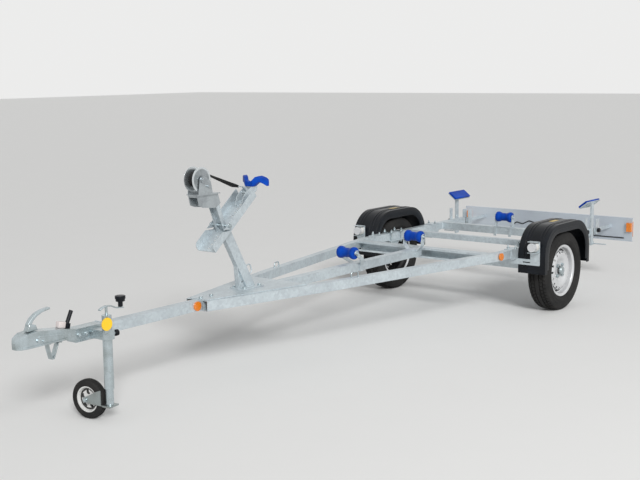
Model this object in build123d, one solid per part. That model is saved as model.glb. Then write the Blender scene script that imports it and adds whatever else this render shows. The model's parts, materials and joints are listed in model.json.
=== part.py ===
from build123d import *
from math import asin, atan2, cos, degrees, hypot, radians, sin, sqrt
import os

# Boat trailer, millimetres. X forward, Y to the left, Z up from the ground.
# Every place below is counted from the line through both road wheel centres.

# Overall places
noseTipX = 4076.0
seat = 0.2
beamTopZ = 468.0
tubeSide = 55.0
tubeWall = 3.0
beamWidth = 50.0
beamBottomZ = beamTopZ - tubeSide

# Side beams in plan, centre line from front to back
beamBendX = [2866.0, 1996.0, 549.0, -862.0]
beamFrontY = tubeSide / 2 + beamWidth / 2 + 2.2
beamMidY = 276.0
beamHalfTrack = 570.0
beamBendY = [beamFrontY, beamMidY, beamHalfTrack, beamHalfTrack]
beamOuterY = beamHalfTrack + beamWidth / 2
beamInnerY = beamHalfTrack - beamWidth / 2

# Drawbar and cross pieces
drawbarFrontX = 3640.0
frontCrossX = 645.0
frontCrossDepth = 72.0
frontCrossHeight = 72.0
midCrossX = 0.0
midCrossSide = 40.0
rearCrossX = -535.0

# Road wheels
axlePastBeam = 10.0
axleHalf = beamHalfTrack + axlePastBeam
wheelPastAxle = 124.0
wheelRadius = 280.5
wheelPlaneY = axleHalf + wheelPastAxle
tyreWidth = 160.0
rimFlangeRadius = 182.5
beadRadius = 165.0
rimHalfWidth = 62.0
mountFaceY = wheelPlaneY + 30.0
wheelBoltCircle = 50.0
wheelBolts = 4
ventCount = 18
ventCircle = 128.0
ventRadius = 8.0

# Axle
axleX = 165.0
axleZ = 335.0
axleSide = 70.0
armThick = 22.0
stubRadius = 17.0
runFit = 0.05

# Mudguards
guardHalf = 102.0
guardInnerY = wheelPlaneY - guardHalf
guardOuterY = wheelPlaneY + guardHalf
guardThick = 4.0
guardFrontX = 352.0
guardRearX = -335.0
guardTopZ = 626.0
guardCorner = 210.0
guardSkirtZ = 303.0

# Jockey wheel
jockeyX = 3621.0
jockeyY = 127.0
jockeyTubeRadius = 24.0
jockeyBoreRadius = 20.0
jockeyInnerRadius = 19.9
jockeyTubeBottomZ = 168.0
jockeyTubeTopZ = 530.0
jockeyWheelRadius = 100.0
jockeyWheelWidth = 50.0
jockeyTrail = 129.5
jockeyTurn = -82.0

# Mast, bow arm and winch
mastFootX = 2442.0
mastTopX = 2630.0
mastTopZ = 806.0
mastRise = 80.0
mastDeep = 62.0
mastWide = 30.0
armLowX = 2795.0
armLowZ = 740.0
armHighX = 2451.0
armHighZ = 1018.0
armWidth = 134.0
armDepth = 46.0
winchX = 2850.0
winchZ = 1125.0
drumFlangeRadius = 69.0
drumFlangeY = 33.0
winchMidY = 9.0

# Keel rollers: name, axle X, axle Z, foot X
rollerTable = [
    ("front", 1500.0, 543.0, 1392.0),
    ("middle", 730.0, 553.0, 742.0),
    ("rear", -540.0, 546.0, -540.0),
]
rollerHalf = 64.0
rollerEndRadius = 40.0
rollerWaistRadius = 30.0
rollerPinRadius = 8.0
rollerGap = 6.0
strapThick = 5.0

# Side supports
postX = -815.0
postTopZ = 700.0
postBottomZ = 340.0
padLength = 235.0
padWidth = 84.0
padTilt = 38.0

# Light board
boardFrontX = -1222.0
boardHalf = 758.0
boardTopZ = 514.0
boardHeight = 187.0
boardThick = 3.0
rearLampDepth = 49.8
lampRearX = boardFrontX - boardThick - seat - rearLampDepth
midX = (noseTipX + lampRearX) / 2

os.makedirs("parts", exist_ok=True)


def box(x0, x1, y0, y1, z0, z1):
    block = Box(x1 - x0, y1 - y0, z1 - z0)
    return Pos((x0 + x1) / 2, (y0 + y1) / 2, (z0 + z1) / 2) * block


def rod(start, end, radius):
    a = Vector(*start)
    b = Vector(*end)
    length = (b - a).length
    plane = Plane(origin=a, z_dir=(b - a).normalized())
    return plane * Cylinder(radius, length, align=(Align.CENTER, Align.CENTER, Align.MIN))


def bentRod(points, radius, bend):
    path = FilletPolyline(*[Vector(*p) for p in points], radius=bend)
    start = Plane(origin=path @ 0, z_dir=path % 0)
    return sweep(start * Circle(radius), path=path)


def ring(start, end, outer, inner):
    return rod(start, end, outer) - rod(start, end, inner)


def face(points):
    return Face(Wire.make_polygon([Vector(*p) for p in points], close=True))


def slabXY(points, z0, z1):
    flat = face([(p[0], p[1], z0) for p in points])
    return extrude(flat, amount=z1 - z0, dir=(0, 0, 1))


def slabXZ(points, y0, y1):
    flat = face([(p[0], y0, p[1]) for p in points])
    return extrude(flat, amount=y1 - y0, dir=(0, 1, 0))


def slabYZ(points, x0, x1):
    flat = face([(x0, p[0], p[1]) for p in points])
    return extrude(flat, amount=x1 - x0, dir=(1, 0, 0))


def turned(points, x, z):
    # points are (y, radius) about the line along Y through x, z
    flat = face([(x, p[0], z + p[1]) for p in points])
    return revolve(flat, axis=Axis((x, 0, z), (0, 1, 0)))


def squareTubeY(x, z, side, wall, y0, y1):
    half = side / 2
    outer = box(x - half, x + half, y0, y1, z - half, z + half)
    inner = box(x - half + wall, x + half - wall, y0 - 1, y1 + 1, z - half + wall, z + half - wall)
    return outer - inner


def mirrored(shape):
    return mirror(shape, about=Plane.XZ)


def both(shape):
    return [shape, mirrored(shape)]


def save(name, shapes):
    if not isinstance(shapes, (list, tuple)):
        shapes = [shapes]
    solids = []
    for shape in shapes:
        solids.extend(shape.solids())
    moved = [Pos(-midX, 0, 0) * s for s in solids]
    export_step(Compound(children=moved), "parts/" + name + ".step")


def offsetLine(points, distance):
    # the same open line moved sideways, corners mitred
    out = []
    for i, p in enumerate(points):
        normals = []
        for a, b in ((i - 1, i), (i, i + 1)):
            if a < 0 or b >= len(points):
                continue
            dx = points[b][0] - points[a][0]
            dy = points[b][1] - points[a][1]
            size = hypot(dx, dy)
            normals.append((-dy / size, dx / size))
        nx = sum(n[0] for n in normals)
        ny = sum(n[1] for n in normals)
        scale = distance / (nx * normals[0][0] + ny * normals[0][1])
        out.append((p[0] + nx * scale, p[1] + ny * scale))
    return out


# Side beams: bent square tubes that leave the drawbar and run back to the rear lamps
beamLine = list(zip(beamBendX, beamBendY))
beamFar = 0.0


def beamPlan(width, grow):
    line = [(beamLine[0][0] + grow, beamLine[0][1] - grow * 0.25)] + beamLine[1:-1]
    line = line + [(beamLine[-1][0] - grow, beamLine[-1][1])]
    left = offsetLine(line, -width / 2)
    right = offsetLine(line, width / 2)
    return left + right[::-1]


beamOuter = slabXY(beamPlan(beamWidth, 0), beamBottomZ, beamTopZ)
beamInner = slabXY(beamPlan(beamWidth - 2 * tubeWall, 20), beamBottomZ + tubeWall, beamTopZ - tubeWall)
leftBeam = beamOuter - beamInner
# the tube end is cut square to the drawbar and kept off its side
leftBeam = leftBeam - box(beamBendX[0] + 5, beamBendX[0] + 300, -10, 300, 0, 1000)
leftBeam = leftBeam - box(0, 4000, -100, tubeSide / 2 + seat, 0, 1000)
save("side_beams", both(leftBeam))

# Drawbar: one straight square tube from the coupling to the front cross piece
half = tubeSide / 2
drawbarRearX = frontCrossX + frontCrossDepth / 2 + seat
drawbarShape = box(drawbarRearX, drawbarFrontX, -half, half, beamBottomZ, beamTopZ)
drawbarShape = drawbarShape - box(
    drawbarRearX - 5, drawbarFrontX + 5, -half + tubeWall, half - tubeWall, beamBottomZ + tubeWall,
    beamTopZ - tubeWall
)
save("drawbar", drawbarShape)

# Gusset plates above and below the place where the three tubes meet
gussetFrontX = 2858.0
gussetRearX = 2190.0
gussetFrontHalf = 62.0
gussetRearHalf = 222.0
gussetThick = 5.0
gussetPlan = [
    (gussetFrontX, -gussetFrontHalf),
    (gussetFrontX, gussetFrontHalf),
    (gussetRearX, gussetRearHalf),
    (gussetRearX, -gussetRearHalf),
]
topGusset = slabXY(gussetPlan, beamTopZ + seat, beamTopZ + seat + gussetThick)
lowGusset = slabXY(gussetPlan, beamBottomZ - seat - gussetThick, beamBottomZ - seat)
gussetTopZ = beamTopZ + seat + gussetThick
for x in (2840, 2758):
    topGusset = topGusset + rod((x, 0, gussetTopZ - 1), (x, 0, gussetTopZ + 7), 9)
save("gusset_plates", [topGusset, lowGusset])

# Front cross piece: open channel with its lips to the front
crossFrontX = frontCrossX + frontCrossDepth / 2
crossRearX = frontCrossX - frontCrossDepth / 2
crossLowZ = beamTopZ - frontCrossHeight


def beamInnerAt(x):
    for i in range(3):
        x1, y1 = beamLine[i]
        x2, y2 = beamLine[i + 1]
        if x <= x1 and x >= x2:
            slope = (y2 - y1) / (x2 - x1)
            centre = y1 + slope * (x - x1)
            return centre - beamWidth / 2 * sqrt(1 + slope * slope)
    return 0.0


crossEnds = [
    (crossRearX, beamInnerAt(crossRearX) - seat),
    (crossFrontX, beamInnerAt(crossFrontX) - seat),
    (crossFrontX, -beamInnerAt(crossFrontX) + seat),
    (crossRearX, -beamInnerAt(crossRearX) + seat),
]
wall = 5.0
frontCross = slabXY(crossEnds, crossLowZ, beamTopZ)
frontCross = frontCross - box(crossRearX + wall, crossFrontX + 1, -700, 700, crossLowZ + wall,
    beamTopZ - wall)
crossLipHalf = beamInnerAt(crossFrontX) - seat
for z in (crossLowZ, beamTopZ - 14):
    frontCross = frontCross + box(crossFrontX - wall, crossFrontX, -crossLipHalf, crossLipHalf, z, z + 14)

# Middle and rear cross tubes
tubeHalf = beamInnerY - seat
midCross = squareTubeY(midCrossX, beamTopZ - midCrossSide / 2, midCrossSide, tubeWall, -tubeHalf, tubeHalf)
rearCross = squareTubeY(rearCrossX, beamTopZ - half, tubeSide, tubeWall, -tubeHalf, tubeHalf)
save("cross_pieces", [frontCross, midCross, rearCross])

# Torsion axle: square tube, brackets welded on it, trailing arms with stub axles
axleTube = squareTubeY(axleX, axleZ, axleSide, 5, -axleHalf, axleHalf)
axleTopZ = axleZ + axleSide / 2
bracketTopZ = beamBottomZ - seat
bracketPlateThick = 6.0
clampX = [axleX - 65.0, axleX + 65.0]
bracketFrontX = clampX[1] + 25
bracketRearX = clampX[0] - 25
clampRodRadius = 5.0
clampRodOffset = beamWidth / 2 + clampRodRadius + 1.5
bracket = box(
    bracketRearX, bracketFrontX, beamHalfTrack - 46, beamHalfTrack + 46,
    bracketTopZ - bracketPlateThick, bracketTopZ
)
for y in (beamHalfTrack - 17, beamHalfTrack + 4):
    bracket = bracket + slabXZ(
        [
            (axleX - 34, axleTopZ - 1),
            (axleX + 34, axleTopZ - 1),
            (bracketFrontX - 10, bracketTopZ - bracketPlateThick + 1),
            (bracketRearX + 10, bracketTopZ - bracketPlateThick + 1),
        ],
        y, y + 5
    )
for x in clampX:
    for off in (-clampRodOffset, clampRodOffset):
        y = beamHalfTrack + off
        bracket = bracket - rod((x, y, bracketTopZ - 20), (x, y, bracketTopZ + 5), clampRodRadius + 0.1)
save("axle_beam", axleTube + bracket + mirrored(bracket))

# Clamp bolts and straps that hold the axle brackets on the side beams
clampSolids = []
nutTopZ = bracketTopZ - bracketPlateThick - seat
for x in clampX:
    clamp = box(x - 17, x + 17, beamHalfTrack - 42, beamHalfTrack + 42, beamTopZ + seat,
        beamTopZ + seat + 6)
    for off in (-clampRodOffset, clampRodOffset):
        y = beamHalfTrack + off
        clamp = clamp + rod((x, y, bracketTopZ - 22), (x, y, beamTopZ + 28), clampRodRadius)
        clamp = clamp + rod((x, y, beamTopZ + 5), (x, y, beamTopZ + 16), 9)
        clamp = clamp + rod((x, y, nutTopZ - 9), (x, y, nutTopZ), 9)
    clampSolids.extend(both(clamp))
save("axle_clamps", clampSolids)

# Trailing arms
armPlan = []
armStartY = axleHalf + seat
armEndY = armStartY + armThick
armRadius = 34.0
armLeft = slabXZ(
    [(axleX + 8, axleZ + armRadius), (axleX - 12, axleZ - armRadius), (-8, wheelRadius - 30),
    (6, wheelRadius + 30)],
    armStartY, armEndY
)
armLeft = armLeft + rod((axleX, armStartY, axleZ), (axleX, armEndY, axleZ), armRadius + 2)
armLeft = armLeft + rod((0, armStartY, wheelRadius), (0, armEndY, wheelRadius), 31)
armLeft = armLeft + rod((0, armEndY - 2, wheelRadius), (0, mountFaceY + 6, wheelRadius), stubRadius)
save("trailing_arms", both(armLeft))

# Hubs
hubInnerY = armEndY + 9.0
hubFlange = 8.0
hubProfile = [
    (hubInnerY, stubRadius + runFit),
    (hubInnerY, 34),
    (mountFaceY - hubFlange - 22, 36),
    (mountFaceY - hubFlange, 44),
    (mountFaceY - hubFlange, 64),
    (mountFaceY, 64),
    (mountFaceY, 30),
    (mountFaceY + 22, 28),
    (mountFaceY + 28, 22),
    (mountFaceY + 28, 0),
    (mountFaceY + 14, 0),
    (mountFaceY + 14, stubRadius + runFit),
]
hubLeft = turned(hubProfile, 0, wheelRadius)
boltRadius = 6.0
for i in range(wheelBolts):
    angle = radians(360 / wheelBolts * i + 45)
    bx = wheelBoltCircle * cos(angle)
    bz = wheelRadius + wheelBoltCircle * sin(angle)
    hubLeft = hubLeft + rod((bx, mountFaceY - 1, bz), (bx, mountFaceY + 8, bz), boltRadius)
    hubLeft = hubLeft + rod((bx, mountFaceY + 4.2, bz), (bx, mountFaceY + 16, bz), 9.5)
save("hub_left", hubLeft)
save("hub_right", mirrored(hubLeft))

# Steel rims with a pressed disc and small round vents
rimOut = wheelPlaneY + rimHalfWidth
rimIn = wheelPlaneY - rimHalfWidth
rimProfile = [
    (rimIn, rimFlangeRadius),
    (rimIn + 7, rimFlangeRadius),
    (rimIn + 9, beadRadius + 3),
    (rimIn + 30, beadRadius),
    (rimIn + 42, 146),
    (rimIn + 74, 146),
    (rimIn + 88, beadRadius),
    (rimOut - 9, beadRadius + 3),
    (rimOut - 7, rimFlangeRadius),
    (rimOut, rimFlangeRadius),
    (rimOut - 2, rimFlangeRadius - 4),
    (rimOut - 5, beadRadius),
    (rimOut - 8, beadRadius - 2),
    (rimIn + 90, beadRadius - 4),
    (rimIn + 76, 142),
    (rimIn + 40, 142),
    (rimIn + 28, beadRadius - 4),
    (rimIn + 8, beadRadius - 2),
    (rimIn + 5, beadRadius),
    (rimIn + 2, rimFlangeRadius - 4),
]
discProfile = [
    (mountFaceY + seat, 30.4),
    (mountFaceY + seat, 66),
    (mountFaceY + 12, 84),
    (mountFaceY + 9, 112),
    (mountFaceY - 16, 138),
    (mountFaceY - 22, 142.5),
    (mountFaceY - 4, 142.5),
    (mountFaceY + 12.5, 116),
    (mountFaceY + 16, 84),
    (mountFaceY + 4.2, 67),
    (mountFaceY + 4.2, 30.4),
]
rimLeft = turned(rimProfile, 0, wheelRadius) + turned(discProfile, 0, wheelRadius)
ventCutters = []
for i in range(ventCount):
    angle = radians(360 / ventCount * i)
    vx = ventCircle * cos(angle)
    vz = wheelRadius + ventCircle * sin(angle)
    ventCutters.append(rod((vx, mountFaceY - 30, vz), (vx, mountFaceY + 30, vz), ventRadius))
for i in range(wheelBolts):
    angle = radians(360 / wheelBolts * i + 45)
    bx = wheelBoltCircle * cos(angle)
    bz = wheelRadius + wheelBoltCircle * sin(angle)
    ventCutters.append(rod((bx, mountFaceY - 30, bz), (bx, mountFaceY + 30, bz), boltRadius + 0.1))
rimLeft = rimLeft - ventCutters
save("rim_left", rimLeft)
save("rim_right", mirrored(rimLeft))

# Tyres
tyreProfile = [
    (wheelPlaneY - rimHalfWidth + 9.5, beadRadius + 4),
    (wheelPlaneY - rimHalfWidth + 8, rimFlangeRadius + 2),
    (wheelPlaneY - tyreWidth / 2 + 6, rimFlangeRadius + 12),
    (wheelPlaneY - tyreWidth / 2, rimFlangeRadius + 34),
    (wheelPlaneY - tyreWidth / 2 + 5, wheelRadius - 26),
    (wheelPlaneY - tyreWidth / 2 + 14, wheelRadius - 8),
    (wheelPlaneY - tyreWidth / 2 + 26, wheelRadius - 1.5),
    (wheelPlaneY - 20, wheelRadius),
    (wheelPlaneY + 20, wheelRadius),
    (wheelPlaneY + tyreWidth / 2 - 26, wheelRadius - 1.5),
    (wheelPlaneY + tyreWidth / 2 - 14, wheelRadius - 8),
    (wheelPlaneY + tyreWidth / 2 - 5, wheelRadius - 26),
    (wheelPlaneY + tyreWidth / 2, rimFlangeRadius + 34),
    (wheelPlaneY + tyreWidth / 2 - 6, rimFlangeRadius + 12),
    (wheelPlaneY + rimHalfWidth - 8, rimFlangeRadius + 2),
    (wheelPlaneY + rimHalfWidth - 9.5, beadRadius + 4),
    (wheelPlaneY + 30, beadRadius + 1),
    (wheelPlaneY + 24, beadRadius + 30),
    (wheelPlaneY - 24, beadRadius + 30),
    (wheelPlaneY - 30, beadRadius + 1),
]
tyreLeft = turned(tyreProfile, 0, wheelRadius)
save("tyre_left", tyreLeft)
save("tyre_right", mirrored(tyreLeft))

# Mudguards: a flat topped shell with straight skirts and an outer lip


def guardSolid(inset, y0, y1, skirt):
    # solid block with rounded upper corners, inset from the outside of the shell
    fx = guardFrontX - inset
    rx = guardRearX + inset
    top = guardTopZ - inset
    corner = guardCorner - inset
    diagonal = corner * (1 - cos(radians(45)))
    rearSide = Line((rx, skirt), (rx, top - corner))
    rearArc = ThreePointArc((rx, top - corner), (rx + diagonal, top - diagonal), (rx + corner, top))
    topLine = Line((rx + corner, top), (fx - corner, top))
    frontArc = ThreePointArc((fx - corner, top), (fx - diagonal, top - diagonal), (fx, top - corner))
    frontSide = Polyline((fx, top - corner), (fx, skirt), (rx, skirt))
    sketch = make_face(rearSide + rearArc + topLine + frontArc + frontSide)
    placed = Plane(origin=(0, y0, 0), x_dir=(1, 0, 0), z_dir=(0, -1, 0)) * sketch
    return extrude(placed, amount=-(y1 - y0))


guardLip = 36.0
guardLeft = guardSolid(0, guardInnerY, guardOuterY, guardSkirtZ)
guardLeft = guardLeft - guardSolid(guardThick, guardInnerY - 1, guardOuterY - guardThick, guardSkirtZ - 20)
guardLeft = guardLeft - guardSolid(guardLip, guardInnerY - 1, guardOuterY + 1, guardSkirtZ - 20)
ribFootZ = 536.0
for y in (guardOuterY - 62, guardOuterY - 40):
    rib = guardSolid(-2.5, y, y + 8, guardSkirtZ) - guardSolid(guardThick / 2, y - 1, y + 9,
        guardSkirtZ - 10)
    rib = rib - box(guardRearX - 10, guardFrontX + 10, y - 1, y + 9, guardSkirtZ - 10, ribFootZ)
    guardLeft = guardLeft + rib
save("mudguards", both(guardLeft))

# Mudguard carriers: saddles over the side beams and slotted bars in front of and behind the guards
saddleX0 = 330.0
saddleX1 = 440.0
saddleThick = 4.0
carrierLowZ = 362.0
carrierHighZ = 400.0
carrierOuterY = guardOuterY - 41
slotStartY = guardInnerY + 38
slotEndY = guardInnerY + 138


def carrier(frontSign, guardX):
    xa = min(frontSign * saddleX0, frontSign * saddleX1)
    xb = max(frontSign * saddleX0, frontSign * saddleX1)
    saddleTopZ = beamTopZ + seat + saddleThick
    outY = beamOuterY + seat
    inY = beamInnerY - seat
    shape = box(xa, xb, outY, outY + saddleThick, carrierHighZ, saddleTopZ)
    shape = shape + box(xa, xb, inY - saddleThick, inY, carrierHighZ, saddleTopZ)
    shape = shape + box(xa, xb, inY - 1, outY + 1, beamTopZ + seat, saddleTopZ)
    ba = min(guardX + frontSign * seat, guardX + frontSign * 5)
    bb = max(guardX + frontSign * seat, guardX + frontSign * 5)
    bar = box(ba, bb, inY - saddleThick, carrierOuterY, carrierLowZ, carrierHighZ + 2)
    slot = box(ba - 1, bb + 1, slotStartY, slotEndY, carrierLowZ + 14, carrierLowZ + 22)
    shape = shape + (bar - slot)
    mid = (xa + xb) / 2
    for y in (inY - 4, outY + 4):
        shape = shape + rod((mid, y, beamTopZ), (mid, y, beamTopZ + 26), 5)
    return shape


# White marker lamps in pressed channel brackets at the front of the mudguards
lampY = wheelPlaneY + 27
lampZ = 492.0
lampHalf = 36.0
lampDepth = 50.0
lampPlateX = guardFrontX + seat
lampBracket = box(lampPlateX, lampPlateX + 3, lampY - lampHalf, lampY + lampHalf, 364, 530)
for z in (452, 527):
    lampBracket = lampBracket + box(lampPlateX, lampPlateX + lampDepth, lampY - lampHalf,
        lampY + lampHalf, z, z + 3)
frontCarrier = carrier(1, guardFrontX) + lampBracket
save("mudguard_carriers", both(frontCarrier) + both(carrier(-1, guardRearX)))
lampBody = rod((lampPlateX + 3 + seat, lampY, lampZ), (lampPlateX + 26, lampY, lampZ), 34)
lampBody = lampBody + rod((lampPlateX + 25, lampY, lampZ), (lampPlateX + 58, lampY, lampZ), 30)
save("front_marker_lamps", both(lampBody))

# Coupling: pressed head with a ball socket underneath and a square sleeve on the drawbar
ballX = noseTipX - 54
hollowFrontX = ballX - 32
ballRadius = 25.0
ballZ = 452.0
sleeveRearX = 3556.0
sleeveFrontX = 3738.0
sleeveSide = 67.0
sleeveGap = 0.25
headHalf = 38.0
headTop = [
    (noseTipX, 466),
    (noseTipX - 6, 480),
    (ballX, 503),
    (3970, 509),
    (3800, 488),
    (sleeveFrontX, beamTopZ + 6),
    (sleeveFrontX, beamBottomZ + 6),
    (3800, 432),
    (ballX - 46, 441),
    (noseTipX - 4, 441),
]
head = slabXZ(headTop, -headHalf, headHalf)
headPlan = [
    (noseTipX, -12),
    (noseTipX, 12),
    (noseTipX - 16, 30),
    (ballX + 6, 38),
    (ballX - 60, 37),
    (3800, 32),
    (sleeveFrontX - 4, 33.5),
    (sleeveFrontX - 4, -33.5),
    (3800, -32),
    (ballX - 60, -37),
    (ballX + 6, -38),
    (noseTipX - 16, -30),
]
head = head & slabXY(headPlan, 380, 560)
hollow = slabXZ(
    [(hollowFrontX, 300), (hollowFrontX, 492), (3945, 499), (3800, 478), (3760, 468), (3760, 300)],
    -headHalf + 6, headHalf - 6
)
hollowPlan = [(hollowFrontX, -32), (hollowFrontX, 32), (3750, 27), (3750, -27)]
head = head - (hollow & slabXY(hollowPlan, 200, 600))
rimLowZ = 435.0
rimFrontX = noseTipX - 2
rim = box(3786, rimFrontX, -46, 46, rimLowZ, rimLowZ + 8)
rimPlan = [
    (noseTipX - 2, -14), (noseTipX - 2, 14), (noseTipX - 18, 34), (ballX + 6, 43), (ballX - 60, 42),
    (3786, 38),
    (3786, -38), (ballX - 60, -42), (ballX + 6, -43), (noseTipX - 18, -34),
]
rim = rim & slabXY(rimPlan, 380, 560)
rim = rim - slabXY(hollowPlan, 200, 600)
head = head + rim
head = head - Pos(ballX, 0, ballZ) * Sphere(ballRadius + 0.3)
head = head - rod((ballX, 0, 380), (ballX, 0, ballZ), ballRadius + 0.3)
sleeveHalf = sleeveSide / 2
sleeveBore = half + sleeveGap
sleeveMidZ = beamTopZ - half
sleeve = box(sleeveRearX, sleeveFrontX, -sleeveHalf, sleeveHalf, sleeveMidZ - sleeveHalf,
    sleeveMidZ + sleeveHalf)
sleeve = sleeve - box(
    sleeveRearX - 1, drawbarFrontX + seat, -sleeveBore, sleeveBore, sleeveMidZ - sleeveBore,
    sleeveMidZ + sleeveBore
)
head = head + sleeve
tubeMidZ = beamTopZ - half
for x in (3672, 3716):
    for side in (1, -1):
        boltStart = (x, side * (sleeveSide / 2 - 1), tubeMidZ)
        head = head + rod(boltStart, (x, side * (sleeveSide / 2 + 8), tubeMidZ), 9.5)
ribLine = [(3812, 462), (3812, 470), (3950, 486), (3960, 478)]
for side in (1, -1):
    rib = slabXZ(ribLine, side * 34 - 5, side * 34 + 5)
    head = head + rib
    head = head + rod((3962, side * 30, 463), (3962, side * 43, 463), 9)
    head = head + rod((3930, side * 30, 455), (3930, side * 41, 455), 6)
save("coupling_head", head)

# Coupling lever: block and curved handle
leverPath = [(3984, 512), (3986, 540), (3970, 562), (3946, 580), (3916, 592), (3866, 600)]
leverGrow = [9, 9, 8, 7, 6, 5]
leverOut = []
leverIn = []
for i, grow in enumerate(leverGrow):
    leverOut.append(offsetLine(leverPath, grow)[i])
    leverIn.append(offsetLine(leverPath, -grow)[i])
lever = slabXZ(leverOut + leverIn[::-1], -13, 13)
lever = lever + slabXZ([(4004, 509.4), (3990, 541), (3956, 536), (3946, 509.4)], -17, 17)
save("coupling_lever", lever)

# Safety strap: bent flat loop under the coupling
loopPath = [(3888, 434.6), (3880, 395), (3868, 352), (3856, 352), (3838, 395), (3822, 430.8)]
loopOut = offsetLine(loopPath, 3)
loopIn = offsetLine(loopPath, -3)
safetyLoop = slabXZ(loopOut + loopIn[::-1], -14, 14)
# a pin at each end of the strap, held between the walls of the coupling
for x, z in (loopPath[0], loopPath[-1]):
    pinHalf = 27 + (x - 3750) * 5 / (hollowFrontX - 3750) - seat
    safetyLoop = safetyLoop + rod((x, -pinHalf, z), (x, pinHalf, z), 6)
save("safety_loop", safetyLoop)

# Parked light plug with its holder on top of the coupling
plug = slabXZ([(3812, 490.4), (3772, 483.4), (3766, 512), (3806, 520)], -26, 2)
save("light_plug", plug)
holderStart = (3764.0, -12.0, 500.0)
holderFoot = slabXZ([(3764, 480.1), (3744, 475.6), (3738, 500), (3762, 505)], -24, 0)
plugHolder = holderFoot + rod((3754, -12, 495), (3722, -12, 560), 10)
save("plug_holder", plugHolder)

# Jockey wheel clamp on the left of the drawbar
jockeyClampZ0 = 418.0
jockeyClampZ1 = 463.0
clampHalf = 34.0
clampPlan = [
    (jockeyX - clampHalf, sleeveHalf + seat),
    (jockeyX + clampHalf, sleeveHalf + seat),
    (jockeyX + clampHalf, jockeyY + 12),
    (jockeyX + 18, jockeyY + clampHalf),
    (jockeyX - 18, jockeyY + clampHalf),
    (jockeyX - clampHalf, jockeyY + 12),
]
clampBlock = slabXY(clampPlan, jockeyClampZ0, jockeyClampZ1)
clampBlock = clampBlock - rod((jockeyX, jockeyY, 300), (jockeyX, jockeyY, 600), jockeyTubeRadius + 0.1)
clampKnobX = jockeyX - 42
clampBlock = clampBlock + rod((jockeyX - 33, jockeyY + 8, 440), (clampKnobX, jockeyY + 8, 440), 7)
discX = 3652.0
discZ = 501.0
discY = jockeyY + clampHalf
discTab = box(jockeyX, discX + 10, discY - 6, discY, jockeyClampZ1 - 8, discZ + 10)
clampBlock = clampBlock + discTab
save("jockey_clamp", clampBlock)

# Jockey wheel legs
outerTube = ring(
    (jockeyX, jockeyY, jockeyTubeBottomZ), (jockeyX, jockeyY, jockeyTubeTopZ), jockeyTubeRadius,
    jockeyBoreRadius
)
outerTube = outerTube + ring(
    (jockeyX, jockeyY, jockeyTubeTopZ), (jockeyX, jockeyY, jockeyTubeTopZ + 6), jockeyTubeRadius, 7.2
)
save("jockey_outer_tube", outerTube)

# Crank with its knob, and the knob of the clamp
crankTopZ = 560.0
crankThick = 6.0
knobX = jockeyX - 92
crankPath = [
    (jockeyX + 44, crankTopZ + 6), (jockeyX + 24, crankTopZ + 17), (jockeyX, crankTopZ + 21),
    (jockeyX - 28, crankTopZ + 17),
    (jockeyX - 62, crankTopZ + 2), (knobX - 14, crankTopZ - 3),
]
crankOut = offsetLine(crankPath, crankThick / 2)
crankIn = offsetLine(crankPath, -crankThick / 2)
crank = rod((jockeyX, jockeyY, jockeyTubeTopZ - 10), (jockeyX, jockeyY, crankTopZ + 20), 7)
crank = crank + slabXZ(crankOut + crankIn[::-1], jockeyY - 9, jockeyY + 9)
save("jockey_crank", crank)
knobFootZ = crankTopZ + 3.2
crankKnob = rod((knobX, jockeyY, knobFootZ), (knobX, jockeyY, knobFootZ + 28), 12)
crankKnob = crankKnob + rod((knobX, jockeyY, knobFootZ + 26), (knobX, jockeyY, knobFootZ + 40), 23)
crankKnob = crankKnob + rod((knobX, jockeyY, knobFootZ + 38), (knobX, jockeyY, knobFootZ + 54), 26)
clampKnob = rod((clampKnobX - seat, jockeyY + 8, 440), (clampKnobX - 18, jockeyY + 8, 440), 16)
save("jockey_knobs", [crankKnob, clampKnob])

forkPlateZ = 86.0
innerTube = rod((jockeyX, jockeyY, forkPlateZ + seat), (jockeyX, jockeyY, 440), jockeyInnerRadius)
innerTube = innerTube - rod((jockeyX, jockeyY, forkPlateZ + 10), (jockeyX, jockeyY, 441),
    jockeyInnerRadius - 4)
swivelPinRadius = 8.0
# the swivel pin hangs under the leg, through the plate of the fork, with its nut below
forkPlateThick = 8.0
swivelNutZ = forkPlateZ - forkPlateThick - 0.5
innerTube = innerTube + rod((jockeyX, jockeyY, swivelNutZ - 8), (jockeyX, jockeyY, forkPlateZ + 2),
    swivelPinRadius)
innerTube = innerTube + rod((jockeyX, jockeyY, swivelNutZ - 7), (jockeyX, jockeyY, swivelNutZ), 13)
save("jockey_inner_tube", innerTube)

# Jockey fork and wheel, drawn pointing forward and then turned about the leg


def jockeyTurned(shape):
    return Pos(jockeyX, jockeyY, 0) * Rot(0, 0, jockeyTurn) * shape


forkInner = jockeyWheelWidth / 2 + 5
forkThick = 4.0
forkPlate = box(-26, 22, -forkInner - forkThick, forkInner + forkThick, forkPlateZ - forkPlateThick,
    forkPlateZ)
cheek = [
    (-24, forkPlateZ - forkPlateThick), (26, 82), (jockeyTrail - 14, 84), (jockeyTrail + 16, 92),
    (jockeyTrail + 16, 112),
    (jockeyTrail - 10, 120), (60, 150), (31, 160), (31, forkPlateZ), (-24, forkPlateZ),
]
fork = forkPlate
for side in (1, -1):
    ya = side * forkInner
    yb = side * (forkInner + forkThick)
    fork = fork + slabXZ(cheek, min(ya, yb), max(ya, yb))
fork = fork - rod((0, 0, forkPlateZ - 20), (0, 0, forkPlateZ + 1), swivelPinRadius + runFit)
jockeyAxleRadius = 6.0
forkOuter = forkInner + forkThick
fork = fork - rod(
    (jockeyTrail, -forkOuter - 1, jockeyWheelRadius), (jockeyTrail, forkOuter + 1, jockeyWheelRadius),
    jockeyAxleRadius + 0.1
)
axlePin = rod(
    (jockeyTrail, -forkOuter - 8, jockeyWheelRadius), (jockeyTrail, forkOuter + 8, jockeyWheelRadius),
    jockeyAxleRadius
)
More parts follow.
